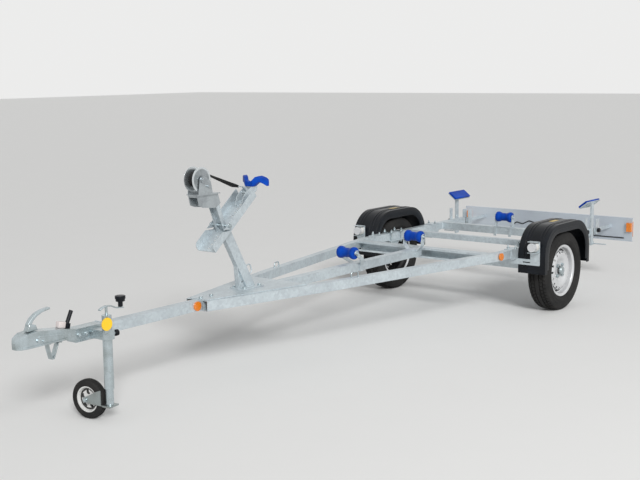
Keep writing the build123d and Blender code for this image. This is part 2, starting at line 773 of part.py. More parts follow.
for side in (1, -1):
    ya = side * (forkOuter + seat)
    yb = side * (forkOuter + 8)
    axlePin = axlePin + rod((jockeyTrail, ya, jockeyWheelRadius), (jockeyTrail, yb, jockeyWheelRadius), 10)
save("jockey_fork", [jockeyTurned(fork), jockeyTurned(axlePin)])

hw = jockeyWheelWidth / 2
jockeyRimProfile = [
    (-hw - 2, jockeyAxleRadius + runFit), (-hw - 2, 14), (-10, 16), (-8, 54), (-hw + 4, 60), (-hw + 4, 66),
    (hw - 4, 66), (hw - 4, 60), (8, 54), (10, 16), (hw + 2, 14), (hw + 2, jockeyAxleRadius + runFit),
]
jockeyRim = turned(jockeyRimProfile, 0, 0)
for i in range(5):
    angle = radians(72 * i + 18)
    jockeyRim = jockeyRim - rod((36 * cos(angle), -20, 36 * sin(angle)),
        (36 * cos(angle), 20, 36 * sin(angle)), 13)
jockeyRim = Pos(jockeyTrail, 0, jockeyWheelRadius) * jockeyRim
save("jockey_rim", jockeyTurned(jockeyRim))
jockeyTyreProfile = [
    (-hw + 4, 66 + seat), (-hw, 74), (-hw, 86), (-hw + 6, 96), (-12, 100),
    (12, 100), (hw - 6, 96), (hw, 86), (hw, 74), (hw - 4, 66 + seat),
]
jockeyTyre = Pos(jockeyTrail, 0, jockeyWheelRadius) * turned(jockeyTyreProfile, 0, 0)
save("jockey_tyre", jockeyTurned(jockeyTyre))

# Round reflectors: on the drawbar, on the side beams and on the jockey wheel clamp
drawbarReflectorX = 2898.0
sideReflectorX = 605.0
reflectorZ = 441.0
drawbarReflector = rod(
    (drawbarReflectorX, half + seat, reflectorZ), (drawbarReflectorX, half + 8, reflectorZ), 26
)
beamReflector = rod(
    (sideReflectorX - 30, beamOuterY - 4, reflectorZ), (sideReflectorX - 30, beamOuterY + 6, reflectorZ), 25
)
frontDisc = rod((discX, discY + seat, discZ), (discX, discY + 6, discZ), 32)
reflectors = both(drawbarReflector - leftBeam) + both(beamReflector - leftBeam)
save("reflectors", reflectors)
save("front_reflector", frontDisc)

# Tie down eyes on the side beams and on the mast

eyeHalf = 28.0
eyeHigh = 32.0


def eye(x, y, z, turn):
    wire = bentRod([(0, -eyeHalf, 0), (0, -eyeHalf, eyeHigh), (0, eyeHalf, eyeHigh), (0, eyeHalf, 0)],
        4, 16)
    return Pos(x, y, z) * Rot(0, 0, turn) * wire


eyeX = 1840.0
beamSlope = (beamHalfTrack - beamMidY) / (beamBendX[1] - beamBendX[2])
eyeY = beamMidY + (beamBendX[1] - eyeX) * beamSlope
save("tie_down_eyes", both(eye(eyeX, eyeY, beamTopZ + seat, 90 - degrees(atan2(beamSlope, 1)))))

# Mast: lower square tube on a foot, cheek plates in front
mastDir = Vector(mastTopX - mastFootX, 0, mastTopZ - gussetTopZ).normalized()
mastLean = degrees(atan2(mastDir.X, mastDir.Z))


def alongMast(x, z, shape):
    return Pos(x, 0, z) * Rot(0, mastLean, 0) * shape


mastLength = hypot(mastTopX - mastFootX, mastTopZ - gussetTopZ)
mastHalf = mastWide / 2
mastTube = Box(mastDeep, mastWide, mastLength + 2 * mastRise)
mastTube = mastTube - Box(mastDeep - 2 * tubeWall, mastWide - 2 * tubeWall, mastLength + 2 * mastRise + 10)
mastLower = alongMast(mastFootX, gussetTopZ, Pos(0, 0, mastLength / 2) * mastTube)
mastLower = mastLower - box(2000, 3000, -200, 200, 0, gussetTopZ + 6)
foot = box(mastFootX - 62, mastFootX + 105, -55, 55, gussetTopZ + seat, gussetTopZ + 6.5)
mastLower = mastLower + foot
legFront = mastFootX + 101
legRear = mastFootX + 96
legTopZ = 606.0
legShift = 12.0
front = slabXZ(
    [(legRear, gussetTopZ + 5), (legFront, gussetTopZ + 5), (legFront + legShift, legTopZ),
    (legRear + legShift, legTopZ)],
    -mastHalf, mastHalf
)
web = slabXZ(
    [(mastFootX + 30, gussetTopZ + 5), (legRear + 2, gussetTopZ + 5), (legRear + legShift + 2, legTopZ),
    (mastFootX + 76, legTopZ)],
    -3, 3
)
web = web - rod((mastFootX + 62, -10, 510), (mastFootX + 62, 10, 510), 8)
mastLower = mastLower + front + web
for x in (mastFootX + 84, mastFootX - 44):
    for y in (-38, 38):
        mastLower = mastLower + rod((x, y, gussetTopZ + 6), (x, y, gussetTopZ + 15), 9.5)
mastEye = [(mastFootX + 16, 0, 544), (mastFootX - 26, 0, 558), (mastFootX - 8, 0, 606),
    (mastFootX + 38, 0, 598)]
mastLower = mastLower + bentRod(mastEye, 4, 14)

# Bow arm: channel open to the front, a row of holes in its web
armVec = Vector(armHighX - armLowX, 0, armHighZ - armLowZ)
armLength = armVec.length
armAngle = degrees(atan2(armVec.Z, -armVec.X))


def alongArm(shape):
    # local X runs up the arm, local Z points forward and up out of the open side
    return Plane(origin=(armLowX, 0, armLowZ), x_dir=(armVec.X, 0, armVec.Z),
        z_dir=(-armVec.Z * -1, 0, -armVec.X * 1)) * shape


armWall = 4.0
armEndTrim = 26.0
channel = Box(armLength, armWidth, armDepth, align=(Align.MIN, Align.CENTER, Align.MIN))
channel = channel - Pos(-1, 0, armWall) * Box(armLength + 2, armWidth - 2 * armWall, armDepth,
    align=(Align.MIN, Align.CENTER, Align.MIN))
channel = Pos(0, 0, -armDepth / 2) * channel
holes = []
for i in range(13):
    hx = 22 + 31 * i
    if hx > 130 and hx < 245:
        continue
    holes.append(Pos(hx, 0, -armDepth / 2) * Cylinder(6, 20))
channel = channel - holes
# rounded lower ends of the flanges and a level cut through both flanges at the crossing
endTrim = Pos(0, 0, armDepth / 2) * Box(armEndTrim * 2, 2 * armWidth, armEndTrim * 2)
endTrim = endTrim - Pos(armEndTrim, 0, armDepth / 2 - armEndTrim) * Rot(90, 0, 0) * Cylinder(armEndTrim,
    3 * armWidth)
channel = channel - endTrim
# through bolt in the foot of the upper mast
crossBolts = [(2668, 856)]
mastBoltRadius = 6.0
boltHoles = []
for x, z in crossBolts:
    boltHoles.append(rod((x, -90, z), (x, 90, z), mastBoltRadius + 0.1))
bowArm = alongArm(channel) - boltHoles
flangeCutZ = 828.0
flangeCutHigh = 9.0
webKeep = alongArm(Pos(armLength / 2, 0, -armDepth / 2 + armWall / 2) * Box(armLength, armWidth,
    armWall + 6))
cutBand = box(2580, 2780, -armWidth, armWidth, flangeCutZ, flangeCutZ + flangeCutHigh) - webKeep
bowArm = bowArm - cutBand
# the mast ends flush under the web of the arm
mastLower = mastLower - alongArm(Pos(armLength / 2, 0, 200 - armDepth / 2 - seat) * Box(armLength + 200,
    300, 400))
save("mast_lower", mastLower)

# Upper mast: channel that stands in the bow arm and carries the winch
upperFootX = 2648.0
upperFootZ = 800.0
upperTopX = 2739.0
upperTopZ = 1028.0
upperVec = Vector(upperTopX - upperFootX, 0, upperTopZ - upperFootZ)
upperLean = degrees(atan2(upperVec.X, upperVec.Z))
upperLength = upperVec.length
upperWide = 60.0
upperDeep = 28.0
upper = Box(upperDeep, upperWide, upperLength, align=(Align.CENTER, Align.CENTER, Align.MIN))
upperHollow = Box(upperDeep, upperWide - 8, upperLength + 2, align=(Align.CENTER, Align.CENTER, Align.MIN))
upper = upper - Pos(4, 0, -1) * upperHollow
upperMast = Pos(upperFootX, 0, upperFootZ) * Rot(0, upperLean, 0) * upper
upperMast = upperMast - box(2300, 3000, -200, 200, upperTopZ, upperTopZ + 100)
upperMast = upperMast - alongArm(Pos(armLength / 2, 0, -armDepth / 2 + armWall + seat - 50) * Box(900,
    200, 100))
upperMast = upperMast - boltHoles
save("upper_mast", upperMast)
save("bow_arm", bowArm)

boltSolids = []
boltY = armWidth / 2 + seat
for x, z in crossBolts:
    mastBolt = rod((x, -boltY - 8, z), (x, boltY + 8, z), mastBoltRadius)
    for side in (1, -1):
        mastBolt = mastBolt + rod((x, side * boltY, z), (x, side * (boltY + 7), z), 10)
    boltSolids.append(mastBolt)
save("mast_bolts", boltSolids)

# Bow stop: blue V block on two cheek plates at the top of the arm
bowX = 2412.0
bowZ = 1072.0
cheekPlates = []
for side in (1, -1):
    cheekPlates.append(slabXZ(
        [
            (2520, 948), (2466, 948), (2425, 1000), (2390, 1024), (2382, 1046), (2400, 1049.6),
            (2432, 1049.6), (2480, 1022), (2505, 996),
        ],
        side * 24 - 2.5, side * 24 + 2.5
    ))
hookPin = (2462.0, 1019.0)
bowBracket = cheekPlates[0] + cheekPlates[1] + rod((hookPin[0], -24, hookPin[1]),
    (hookPin[0], 24, hookPin[1]), 5)
bowBracket = bowBracket - alongArm(Pos(armLength / 2, 0,
    -armDepth / 2 + armWall + seat - 50) * Box(armLength + 2 * seat, 200, 100))
save("bow_stop_bracket", bowBracket)
wing = [
    (2432, 0), (2430, 26), (2404, 66), (2352, 88), (2342, 78), (2378, 56), (2402, 22), (2405, 0),
]
wingAll = wing + [(p[0], -p[1]) for p in wing[::-1] if p[1] != 0]
blockTop = [(0, 1076), (22, 1083), (40, 1104), (58, 1110), (72, 1098), (86, 1072)]
blockLow = [(82, 1050), (72, 1066), (60, 1078), (44, 1066), (30, 1050), (0, 1050)]
blockHalf = blockTop + blockLow
blockFront = blockHalf + [(-p[0], p[1]) for p in blockHalf[::-1] if p[0] != 0]
save("bow_stop_block", slabXY(wingAll, 1040, 1120) & slabYZ(blockFront, 2300, 2460))

# Winch
baseZ = 1046.0
plateY = drumFlangeY + 6
plateThick = 4.0
winchBaseRearX = 2718.0
winchBaseFrontX = 2892.0
plateOuter = plateY + plateThick
winchFrame = box(winchBaseRearX, winchBaseFrontX, winchMidY - plateOuter, winchMidY + plateOuter,
    baseZ - 5, baseZ)
for side in (1, -1):
    ya = winchMidY + side * plateY
    yb = winchMidY + side * plateOuter
    winchSide = [
        (2775, baseZ - 3), (2884, baseZ - 3), (2878, 1084), (2872, 1130), (2862, 1143), (2844, 1146),
        (2822, 1138), (2790, 1112),
    ]
    winchFrame = winchFrame + slabXZ(winchSide, min(ya, yb), max(ya, yb))
footHalf = upperWide / 2 + seat
footOuter = [
    (2700, 985), (2745, 962), (2836, 972), (2866, 984), (winchBaseFrontX - 12, baseZ - 4),
    (winchBaseRearX + 2, baseZ - 4),
]
footInner = [(2600, 900), (3000, 900), (3000, upperTopZ + seat), (2600, upperTopZ + seat)]
winchFrame = winchFrame + slabXZ(footOuter, -footHalf - 5, footHalf + 5)
winchFrame = winchFrame - slabXZ(footInner, -footHalf, footHalf)
bossY = winchMidY + plateY
winchFrame = winchFrame + rod((winchX, bossY, winchZ), (winchX, bossY + 10, winchZ), 17)
winchFrame = winchFrame + rod((2812, bossY, 1088), (2812, bossY + 16, 1088), 8)
shaftRadius = 9.0
shaftHalf = plateOuter + 8
winchFrame = winchFrame + rod((winchX, winchMidY - shaftHalf, winchZ),
    (winchX, winchMidY + shaftHalf, winchZ), shaftRadius)
save("winch_frame", winchFrame)
drumCore = 20.0
drumWeb = drumFlangeY - 3
drumHalf = [
    (drumWeb, drumCore),
    (drumWeb, drumFlangeRadius),
    (drumFlangeY, drumFlangeRadius),
    (drumFlangeY, shaftRadius + runFit),
]
drumProfile = [(-p[0], p[1]) for p in drumHalf[::-1]] + drumHalf
save("winch_drum", Pos(0, winchMidY, 0) * turned(drumProfile, winchX, winchZ))
strapRollRadius = 42.0
strapHalf = 25.0
rollProfile = [
    (-strapHalf, drumCore + seat), (-strapHalf, strapRollRadius), (strapHalf, strapRollRadius),
    (strapHalf, drumCore + seat)
]
save("strap_roll", Pos(0, winchMidY, 0) * turned(rollProfile, winchX, winchZ))

# Strap: a straight run just clear of the roll, to the bar of the hook at the bow stop
strapThickness = 3.0
strapClear = 5.5
strapEnd = (2551.0, 1063.0)
strapReach = strapRollRadius + strapClear + strapThickness / 2
strapDistance = hypot(winchX - strapEnd[0], winchZ - strapEnd[1])
strapRise = atan2(winchZ - strapEnd[1], winchX - strapEnd[0]) + asin(strapReach / strapDistance)
strapLength = sqrt(strapDistance ** 2 - strapReach ** 2)
strapStart = (strapEnd[0] + strapLength * cos(strapRise), strapEnd[1] + strapLength * sin(strapRise))
strapLine = [strapStart, strapEnd]
strapOut = offsetLine(strapLine, strapThickness / 2)
strapIn = offsetLine(strapLine, -strapThickness / 2)
hookBar = rod((strapEnd[0], winchMidY - 27, strapEnd[1]), (strapEnd[0], winchMidY + 27, strapEnd[1]), 4)
strapRun = slabXZ(strapOut + strapIn[::-1], winchMidY - strapHalf, winchMidY + strapHalf)
strapRun = strapRun - rod((strapEnd[0], -50, strapEnd[1]), (strapEnd[0], 50, strapEnd[1]), 4 + seat)
save("winch_strap", strapRun)
px = hookPin[0]
pz = hookPin[1]
hookPath = [strapEnd, (px + 18, pz + 34), (px - 4, pz + 9.5), (px - 10.5, pz), (px - 4, pz - 9.5),
    (px + 8, pz - 9.5)]
hookOut = offsetLine(hookPath, 3)
hookIn = offsetLine(hookPath, -3)
save("strap_hook", hookBar + slabXZ(hookOut + hookIn[::-1], -4, 4))

# Keel rollers with brackets
brackets = []
for name, rx, rz, fx in rollerTable:
    profile = [
        (-rollerHalf, rollerPinRadius + runFit), (-rollerHalf, rollerEndRadius - 4),
        (-rollerHalf + 8, rollerEndRadius),
        (-rollerHalf + 22, rollerEndRadius - 1), (-20, rollerWaistRadius), (20, rollerWaistRadius),
        (rollerHalf - 22, rollerEndRadius - 1), (rollerHalf - 8, rollerEndRadius),
        (rollerHalf, rollerEndRadius - 4),
        (rollerHalf, rollerPinRadius + runFit),
    ]
    save("keel_roller_" + name, turned(profile, rx, rz))
    armY = rollerHalf + rollerGap
    pin = rod((rx, -armY - strapThick - 9, rz), (rx, armY + strapThick + 9, rz), rollerPinRadius)
    bracket = pin
    if name == "rear":
        sideShape = [
            (rx - 20, beamTopZ + 3), (rx + 20, beamTopZ + 3), (rx + 18, rz + 6), (rx + 8, rz + 18),
            (rx - 8, rz + 18), (rx - 18, rz + 6),
        ]
        for side in (1, -1):
            ya = side * armY
            yb = side * (armY + strapThick)
            bracket = bracket + slabXZ(sideShape, min(ya, yb), max(ya, yb))
        crossFace = rearCrossX + half + seat
        bracket = bracket + box(rearCrossX - half, crossFace + 5, -armY - strapThick, armY + strapThick,
            beamTopZ + seat, beamTopZ + seat + 5)
        for side in (1, -1):
            ya = side * (armY - 16)
            yb = side * (armY + strapThick)
            bracket = bracket + box(crossFace, crossFace + 5, min(ya, yb), max(ya, yb),
                beamBottomZ - 14, beamTopZ + 5)
    else:
        inY = half + seat
        outline = [
            (inY, beamBottomZ - 4), (inY + strapThick, beamBottomZ - 4), (inY + strapThick, beamTopZ - 20),
            (armY + strapThick, beamTopZ + 26), (armY + strapThick, rz + 20), (armY, rz + 20),
            (armY, beamTopZ + 30), (inY, beamTopZ - 16),
        ]
        lean = rx - fx
        silhouette = [
            (fx - 20, beamBottomZ - 5), (fx + 18, beamBottomZ - 5), (fx + 24, beamTopZ - 10),
            (rx + 20, rz), (rx + 8, rz + 19),
            (rx - 8, rz + 19), (rx - 20, rz), (fx - 16, beamTopZ - 6),
        ]
        for side in (1, -1):
            strip = slabYZ([(side * p[0], p[1]) for p in outline], min(fx, rx) - 60, max(fx, rx) + 60)
            bracket = bracket + (strip & slabXZ(silhouette, -200, 200))
    brackets.append(bracket)
save("roller_brackets", brackets)

# Side supports: posts on the beam ends, clamps, trays and pads
postInY = beamOuterY + seat
post = box(postX - 20, postX + 20, postInY, postInY + 12, postBottomZ, postTopZ)

padCentreY = beamHalfTrack + 6
padCentreZ = 662.0


def padPlace(shape):
    return Pos(postX, padCentreY, padCentreZ) * Rot(-padTilt * -1, 0, 0) * shape


tray = Pos(0, 0, -9) * Box(padLength, padWidth, 4)
tray = tray + Pos(0, 0, -14) * Box(70, 60, 8)
pad = Pos(0, 0, 1 + seat) * Box(padLength, padWidth, 16)
save("side_pads", both(padPlace(pad)))
support = padPlace(tray) + (post - padPlace(Pos(0, 0, 50) * Box(400, 300, 120)))
clampPlateY = postInY + 6
support = support + box(postX - 20, postX + 112, postInY, clampPlateY, 418, 458)
support = support + box(postX + 76, postX + 112, postInY, clampPlateY, 412, 558)
support = support + rod((postX, postInY + 6, 355), (postX, postInY + 126, 355), 4.5)
support = support + box(postX - 26, postX + 14, postInY, postInY + 16, 344, 366)
save("pad_supports", both(support))

# Light board with its carrier bars
board = box(boardFrontX - boardThick, boardFrontX, -boardHalf, boardHalf, boardTopZ - boardHeight,
    boardTopZ)
board = board + box(boardFrontX - 22, boardFrontX, -boardHalf, boardHalf, boardTopZ - boardThick, boardTopZ)
board = board + box(boardFrontX - 22, boardFrontX, -boardHalf, boardHalf, boardTopZ - boardHeight,
    boardTopZ - boardHeight + boardThick)
save("light_board", board)
barZ = beamTopZ - half
carrierBars = box(boardFrontX + seat, beamBendX[3] + 120, beamHalfTrack - 12, beamHalfTrack + 12,
    barZ - 12, barZ + 12)
save("board_bars", both(carrierBars))
# clamps that hold the bars, just behind the beam ends
clampX0 = -962.0
clampX1 = -902.0
barClamp = box(clampX0, clampX1, beamHalfTrack - 27, beamHalfTrack + 27, barZ - 27, barZ + 88)
barClamp = barClamp - box(clampX0 - 1, clampX1 + 1, beamHalfTrack - 22, beamHalfTrack + 22, barZ + 16,
    barZ + 89)
barClamp = barClamp - box(clampX0 - 1, clampX1 + 1, beamHalfTrack - 12.2, beamHalfTrack + 12.2,
    barZ - 12.2, barZ + 12.2)
save("board_clamps", both(barClamp))
# black knobs of these clamps and of the side supports
clampMidX = (clampX0 + clampX1) / 2
barKnob = rod((clampMidX, beamOuterY + 2 + seat, barZ + 2), (clampMidX, beamOuterY + 22, barZ + 2), 17)
postKnob = rod((postX + 94, clampPlateY + seat, 452), (postX + 94, clampPlateY + 20, 452), 17)
save("clamp_knobs", both(barKnob) + both(postKnob))
# lamp cable clipped on the front of the board
cableRadius = 4.0
cableX = boardFrontX + seat + cableRadius
cableZ = 352.0
cableLine = [
    (-690, cableZ), (-330, cableZ), (-262, 412), (-205, 398), (-145, 428), (-89, 416), (-33, 395),
    (60, cableZ), (690, cableZ),
]
save("lamp_cable", bentRod([(cableX, p[0], p[1]) for p in cableLine], cableRadius, 20))
caps = box(beamBendX[3] - 7, beamBendX[3] - seat, beamHalfTrack - 25, beamHalfTrack + 25, beamBottomZ,
    beamTopZ)
caps = caps - box(-1300, 0, beamHalfTrack - 12.2, beamHalfTrack + 12.2, barZ - 12.2, barZ + 12.2)
save("beam_end_caps", both(caps))
rearLamp = box(lampRearX, boardFrontX - boardThick - seat, boardHalf - 210, boardHalf - 12,
    boardTopZ - 160, boardTopZ - 28)
save("rear_lamps", both(rearLamp))
sideMarker = box(boardFrontX + seat, boardFrontX + 26, boardHalf - 42, boardHalf - 2, boardTopZ - 108,
    boardTopZ - 38)
save("side_marker_lamps", both(sideMarker))
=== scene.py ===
import bpy
import json
from math import asin, atan2, cos, degrees, pi, radians, sin, sqrt
from mathutils import Matrix, Vector


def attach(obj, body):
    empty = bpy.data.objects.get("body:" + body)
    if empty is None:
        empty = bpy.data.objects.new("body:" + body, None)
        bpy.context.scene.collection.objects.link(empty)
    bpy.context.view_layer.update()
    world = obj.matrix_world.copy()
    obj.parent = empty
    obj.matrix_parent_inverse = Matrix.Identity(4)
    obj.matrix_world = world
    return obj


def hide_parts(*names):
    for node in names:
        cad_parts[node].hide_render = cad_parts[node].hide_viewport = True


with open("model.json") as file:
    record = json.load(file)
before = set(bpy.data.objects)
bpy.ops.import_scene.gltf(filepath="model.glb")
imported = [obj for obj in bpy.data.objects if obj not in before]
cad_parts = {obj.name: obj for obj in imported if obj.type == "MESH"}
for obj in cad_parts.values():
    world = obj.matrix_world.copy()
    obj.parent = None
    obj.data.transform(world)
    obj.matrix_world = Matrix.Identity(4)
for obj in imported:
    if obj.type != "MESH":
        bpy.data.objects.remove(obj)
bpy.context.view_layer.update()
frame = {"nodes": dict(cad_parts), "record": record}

# The CAD counts from the middle of the overall box, the sizes below from the road wheel line
middleX = 1.4005


def mm(*values):
    return tuple(v / 1000 for v in values)


def fromAxle(x, y, z):
    # a place in mm from the road wheel line, as metres of the scene
    return ((x - middleX * 1000) / 1000, y / 1000, z / 1000)


class Signal:
    # one value in a material, with arithmetic that adds Math nodes
    def __init__(self, finish, socket):
        self.finish = finish
        self.socket = socket

    def combine(self, operation, *values):
        return self.finish.read("ShaderNodeMath", {"operation": operation}, dict(enumerate(values)))

    def __add__(self, other):
        return self.combine("ADD", self, other)

    def __radd__(self, other):
        return self.combine("ADD", other, self)

    def __sub__(self, other):
        return self.combine("SUBTRACT", self, other)

    def __rsub__(self, other):
        return self.combine("SUBTRACT", other, self)

    def __mul__(self, other):
        return self.combine("MULTIPLY", self, other)

    def __rmul__(self, other):
        return self.combine("MULTIPLY", other, self)

    def __gt__(self, other):
        return self.combine("GREATER_THAN", self, other)

    def __lt__(self, other):
        return self.combine("LESS_THAN", self, other)

    def wave(self):
        return self.combine("SINE", self)

    def root(self):
        return self.combine("SQRT", self)

    def largest(self, other):
        return self.combine("MAXIMUM", self, other)

    def smooth(self, low, high):
        sockets = {"Value": self, "From Min": low, "From Max": high}
        return self.finish.read("ShaderNodeMapRange", {"interpolation_type": "SMOOTHSTEP"}, sockets)


class Finish:
    # one material: its nodes, its pattern space and its shader
    def __init__(self, name, **fixed):
        self.material = bpy.data.materials.new(name)
        self.material.use_nodes = True
        self.tree = self.material.node_tree
        self.shader = self.tree.nodes["Principled BSDF"]
        self.place = self.read("ShaderNodeTexCoord", {}, {}, "Object")
        parts = self.node("ShaderNodeSeparateXYZ", {}, {"Vector": self.place})
        self.x, self.y, self.z = [Signal(self, socket) for socket in parts.outputs]
        for key, value in fixed.items():
            self.feed(key.replace("_", " "), value)

    def node(self, kind, settings, sockets):
        made = self.tree.nodes.new(kind)
        for key, value in settings.items():
            setattr(made, key, value)
        for key, value in sockets.items():
            self.plug(made.inputs[key], value)
        return made

    def read(self, kind, settings, sockets, output=0):
        return Signal(self, self.node(kind, settings, sockets).outputs[output])

    def plug(self, socket, value):
        if isinstance(value, Signal):
            self.tree.links.new(value.socket, socket)
        else:
            socket.default_value = value

    def feed(self, socket, value):
        self.plug(self.shader.inputs[socket], value)

    def noise(self, scale, detail, rough, vector=None):
        sockets = {"Vector": vector or self.place, "Scale": scale, "Detail": detail, "Roughness": rough}
        return self.read("ShaderNodeTexNoise", {}, sockets)

    def cells(self, scale, output="Distance"):
        return self.read("ShaderNodeTexVoronoi", {}, {"Vector": self.place, "Scale": scale}, output)

    def stretched(self, scale):
        return self.read("ShaderNodeMapping", {}, {"Vector": self.place, "Scale": scale})

    def grey(self, colour):
        return self.read("ShaderNodeRGBToBW", {}, {"Color": colour})

    def mix(self, factor, first, second):
        return self.read("ShaderNodeMix", {"data_type": "RGBA"}, {"Factor": factor, 6: first, 7: second}, 2)

    def bump(self, height, strength, distance, edge=0.0012):
        # surface grain, with every edge shaded as if it had this radius
        soft = self.read("ShaderNodeBevel", {"samples": 5}, {"Radius": edge})
        sockets = {"Height": height, "Strength": strength, "Distance": distance, "Normal": soft}
        self.feed("Normal", self.read("ShaderNodeBump", {}, sockets))


def tone(red, green, blue):
    return (red, green, blue, 1.0)


# Hot dip galvanised steel: large frosted crystals, grey clouds and a few runs
def makeGalvanised(name, pale, dull, metal, low, high):
    finish = Finish(name, Metallic=metal, IOR=1.8)
    crystals = finish.grey(finish.cells(70.0, "Color"))
    clouds = finish.noise(6.0, 4.0, 0.6)
    fine = finish.noise(160.0, 2.0, 0.6)
    runs = finish.noise(4.0, 2.0, 0.5, finish.stretched((1.0, 1.0, 0.15)))
    blend = crystals * 0.35 + clouds * 0.75 + runs * 0.35 - 0.25
    finish.feed("Base Color", finish.mix(blend.smooth(0.1, 0.9), dull, pale))
    finish.feed("Roughness", low + (high - low) * (crystals * 0.5 + fine * 0.5))
    finish.bump(fine * 0.6 + crystals * 0.4, 0.08, 0.0006)
    return finish.material


# Zinc plate, bright with a warmer cloud here and there
def makeZinc(name, pale, warm, metal, low, high):
    finish = Finish(name, Metallic=metal)
    clouds = finish.noise(14.0, 3.0, 0.6)
    fine = finish.noise(300.0, 2.0, 0.5)
    finish.feed("Base Color", finish.mix(clouds.smooth(0.35, 0.7), pale, warm))
    finish.feed("Roughness", low + (high - low) * fine)
    finish.bump(fine, 0.05, 0.0004)
    return finish.material


# Moulded plastic or rubber with fine pores
def makeMoulded(name, dark, light, low, high, grain, strength, shine=0.5, edge=0.0012):
    finish = Finish(name, Specular_IOR_Level=shine)
    clouds = finish.noise(9.0, 3.0, 0.6)
    finish.feed("Base Color", finish.mix(clouds.smooth(0.3, 0.75), dark, light))
    finish.feed("Roughness", low + (high - low) * clouds)
    finish.bump(finish.cells(grain), strength, 0.0003, edge)
    return finish.material


def paintCoat(finish, colour, worn, rough, shadeMask=None, shadeTone=None):
    # sprayed paint, and near-black painted shade where the shade mask is one
    clouds = finish.noise(11.0, 4.0, 0.65)
    shown = finish.mix(clouds.smooth(0.4, 0.8) * 0.6, colour, worn)
    gloss = rough + 0.12 * clouds
    if shadeMask:
        # painted shade: the mask darkens the colour to the shade tone
        shown = finish.mix(shadeMask, shown, shadeTone)
        gloss = gloss + rough * shadeMask
    finish.feed("Base Color", shown)
    finish.feed("Roughness", gloss)
    finish.bump(finish.noise(420.0, 1.0, 0.5), 0.05, 0.0002)
    return finish.material


def makePaint(name, colour, worn, rough, metal=0.0):
    return paintCoat(Finish(name, Metallic=metal, Coat_Weight=0.3, Coat_Roughness=0.15), colour, worn, rough)


# Lamp glass with flutes both ways
def makeLens(name, colour, deep, ribs):
    finish = Finish(name, Roughness=0.12, Coat_Weight=0.6, Coat_Roughness=0.05)
    flutes = (finish.z * ribs).wave() * (finish.y * ribs).wave()
    finish.feed("Base Color", finish.mix(flutes.smooth(-0.8, 0.8), deep, colour))
    finish.bump(flutes, 0.5, 0.0008)
    return finish.material


# Woven black strap, a little dusty
def makeWebbing(name):
    finish = Finish(name, Roughness=0.85, Sheen_Weight=0.06, Sheen_Roughness=0.5, Specular_IOR_Level=0.2)
    weave = (finish.x * 2600.0).wave() * (finish.y * 2600.0).wave()
    dirt = finish.noise(25.0, 3.0, 0.6).smooth(0.3, 0.8)
    finish.feed("Base Color", finish.mix(dirt, tone(0.006, 0.006, 0.007), tone(0.018, 0.017, 0.017)))
    finish.bump(weave, 0.6, 0.0006)
    return finish.material


finishes = {
    "galvanised": makeGalvanised("hotDipZinc", tone(0.60, 0.67, 0.70), tone(0.42, 0.47, 0.50), 0.45, 0.34, 0.5),
    "zinc_plate": makeZinc("brightZinc", tone(0.50, 0.57, 0.60), tone(0.38, 0.43, 0.44), 0.82, 0.2, 0.34),
    "winch_grey": makeZinc("winchZinc", tone(0.46, 0.50, 0.52), tone(0.34, 0.37, 0.39), 0.75, 0.22, 0.38),
    "black_plastic": makeMoulded(
        "blackMoulding", tone(0.003, 0.004, 0.006), tone(0.006, 0.008, 0.012), 0.28, 0.42, 900.0, 0.12, 0.24, 0.005
    ),
    "black_tyre": makeMoulded(
        "tyreRubber", tone(0.014, 0.014, 0.014), tone(0.026, 0.025, 0.024), 0.65, 0.85, 500.0, 0.2, 0.2
    ),
    "silver_rim": makePaint("silverPaint", tone(0.72, 0.73, 0.74), tone(0.55, 0.55, 0.54), 0.32, 0.25),
    "white_rim": makePaint("whitePlastic", tone(0.62, 0.62, 0.60), tone(0.48, 0.47, 0.44), 0.4),
    "blue_rubber": makeMoulded(
        "bluePolymer", tone(0.0, 0.034, 0.28), tone(0.0, 0.062, 0.43), 0.32, 0.46, 700.0, 0.1, 0.16
    ),
    "black_steel": makePaint("blackSteel", tone(0.03, 0.03, 0.032), tone(0.09, 0.08, 0.07), 0.4),
    "webbing": makeWebbing("blackWebbing"),
    "white_lens": makeLens("clearLens", tone(0.66, 0.67, 0.68), tone(0.48, 0.50, 0.52), 900.0),
    "red_lens": makeLens("redLens", tone(0.45, 0.012, 0.01), tone(0.22, 0.005, 0.005), 900.0),
    "amber_lens": makeLens("amberLens", tone(0.85, 0.26, 0.015), tone(0.60, 0.14, 0.01), 1200.0),
    "yellow_lens": makeLens("yellowLens", tone(0.95, 0.62, 0.0), tone(0.85, 0.50, 0.0), 1200.0),
    "grey_plastic": makeMoulded(
        "paleMoulding", tone(0.62, 0.55, 0.54), tone(0.70, 0.64, 0.62), 0.4, 0.55, 700.0, 0.1
    ),
}
for part in frame["record"]["subparts"]:
    node = frame["nodes"][part["node"]]
    node.data.materials.clear()
    node.data.materials.append(finishes[part["material_slot"]])

# Tools of the bench: what every new piece below is made with
doubleGap = 0.00005
sides = (1, -1)
toLeft = (-pi / 2, 0.0, 0.0)
toRight = (pi / 2, 0.0, 0.0)
upright = (0.0, 0.0, 0.0)
downward = (pi, 0.0, 0.0)


def choose(*pieces):
    # selects these pieces alone, with the first one active
    for thing in bpy.context.selected_objects:
        thing.select_set(False)
    for piece in pieces:
        piece.select_set(True)
    bpy.context.view_layer.objects.active = pieces[0]


def inEdit(piece, kind=None, action="SELECT"):
    choose(piece)
    bpy.ops.object.mode_set(mode="EDIT")
    if kind:
        bpy.ops.mesh.select_mode(type=kind)
    bpy.ops.mesh.select_all(action=action)


def outEdit():
    bpy.ops.object.mode_set(mode="OBJECT")


def pickFaces(piece, test):
    # chooses faces by their centre and normal, and leaves the piece in edit mode
    inEdit(piece, "FACE", "DESELECT")
    outEdit()
    for polygon in piece.data.polygons:
        polygon.select = bool(test(polygon.center, polygon.normal))
    bpy.ops.object.mode_set(mode="EDIT")


def pickTop(piece, level=0.9):
    pickFaces(piece, lambda centre, normal: normal.z > level)


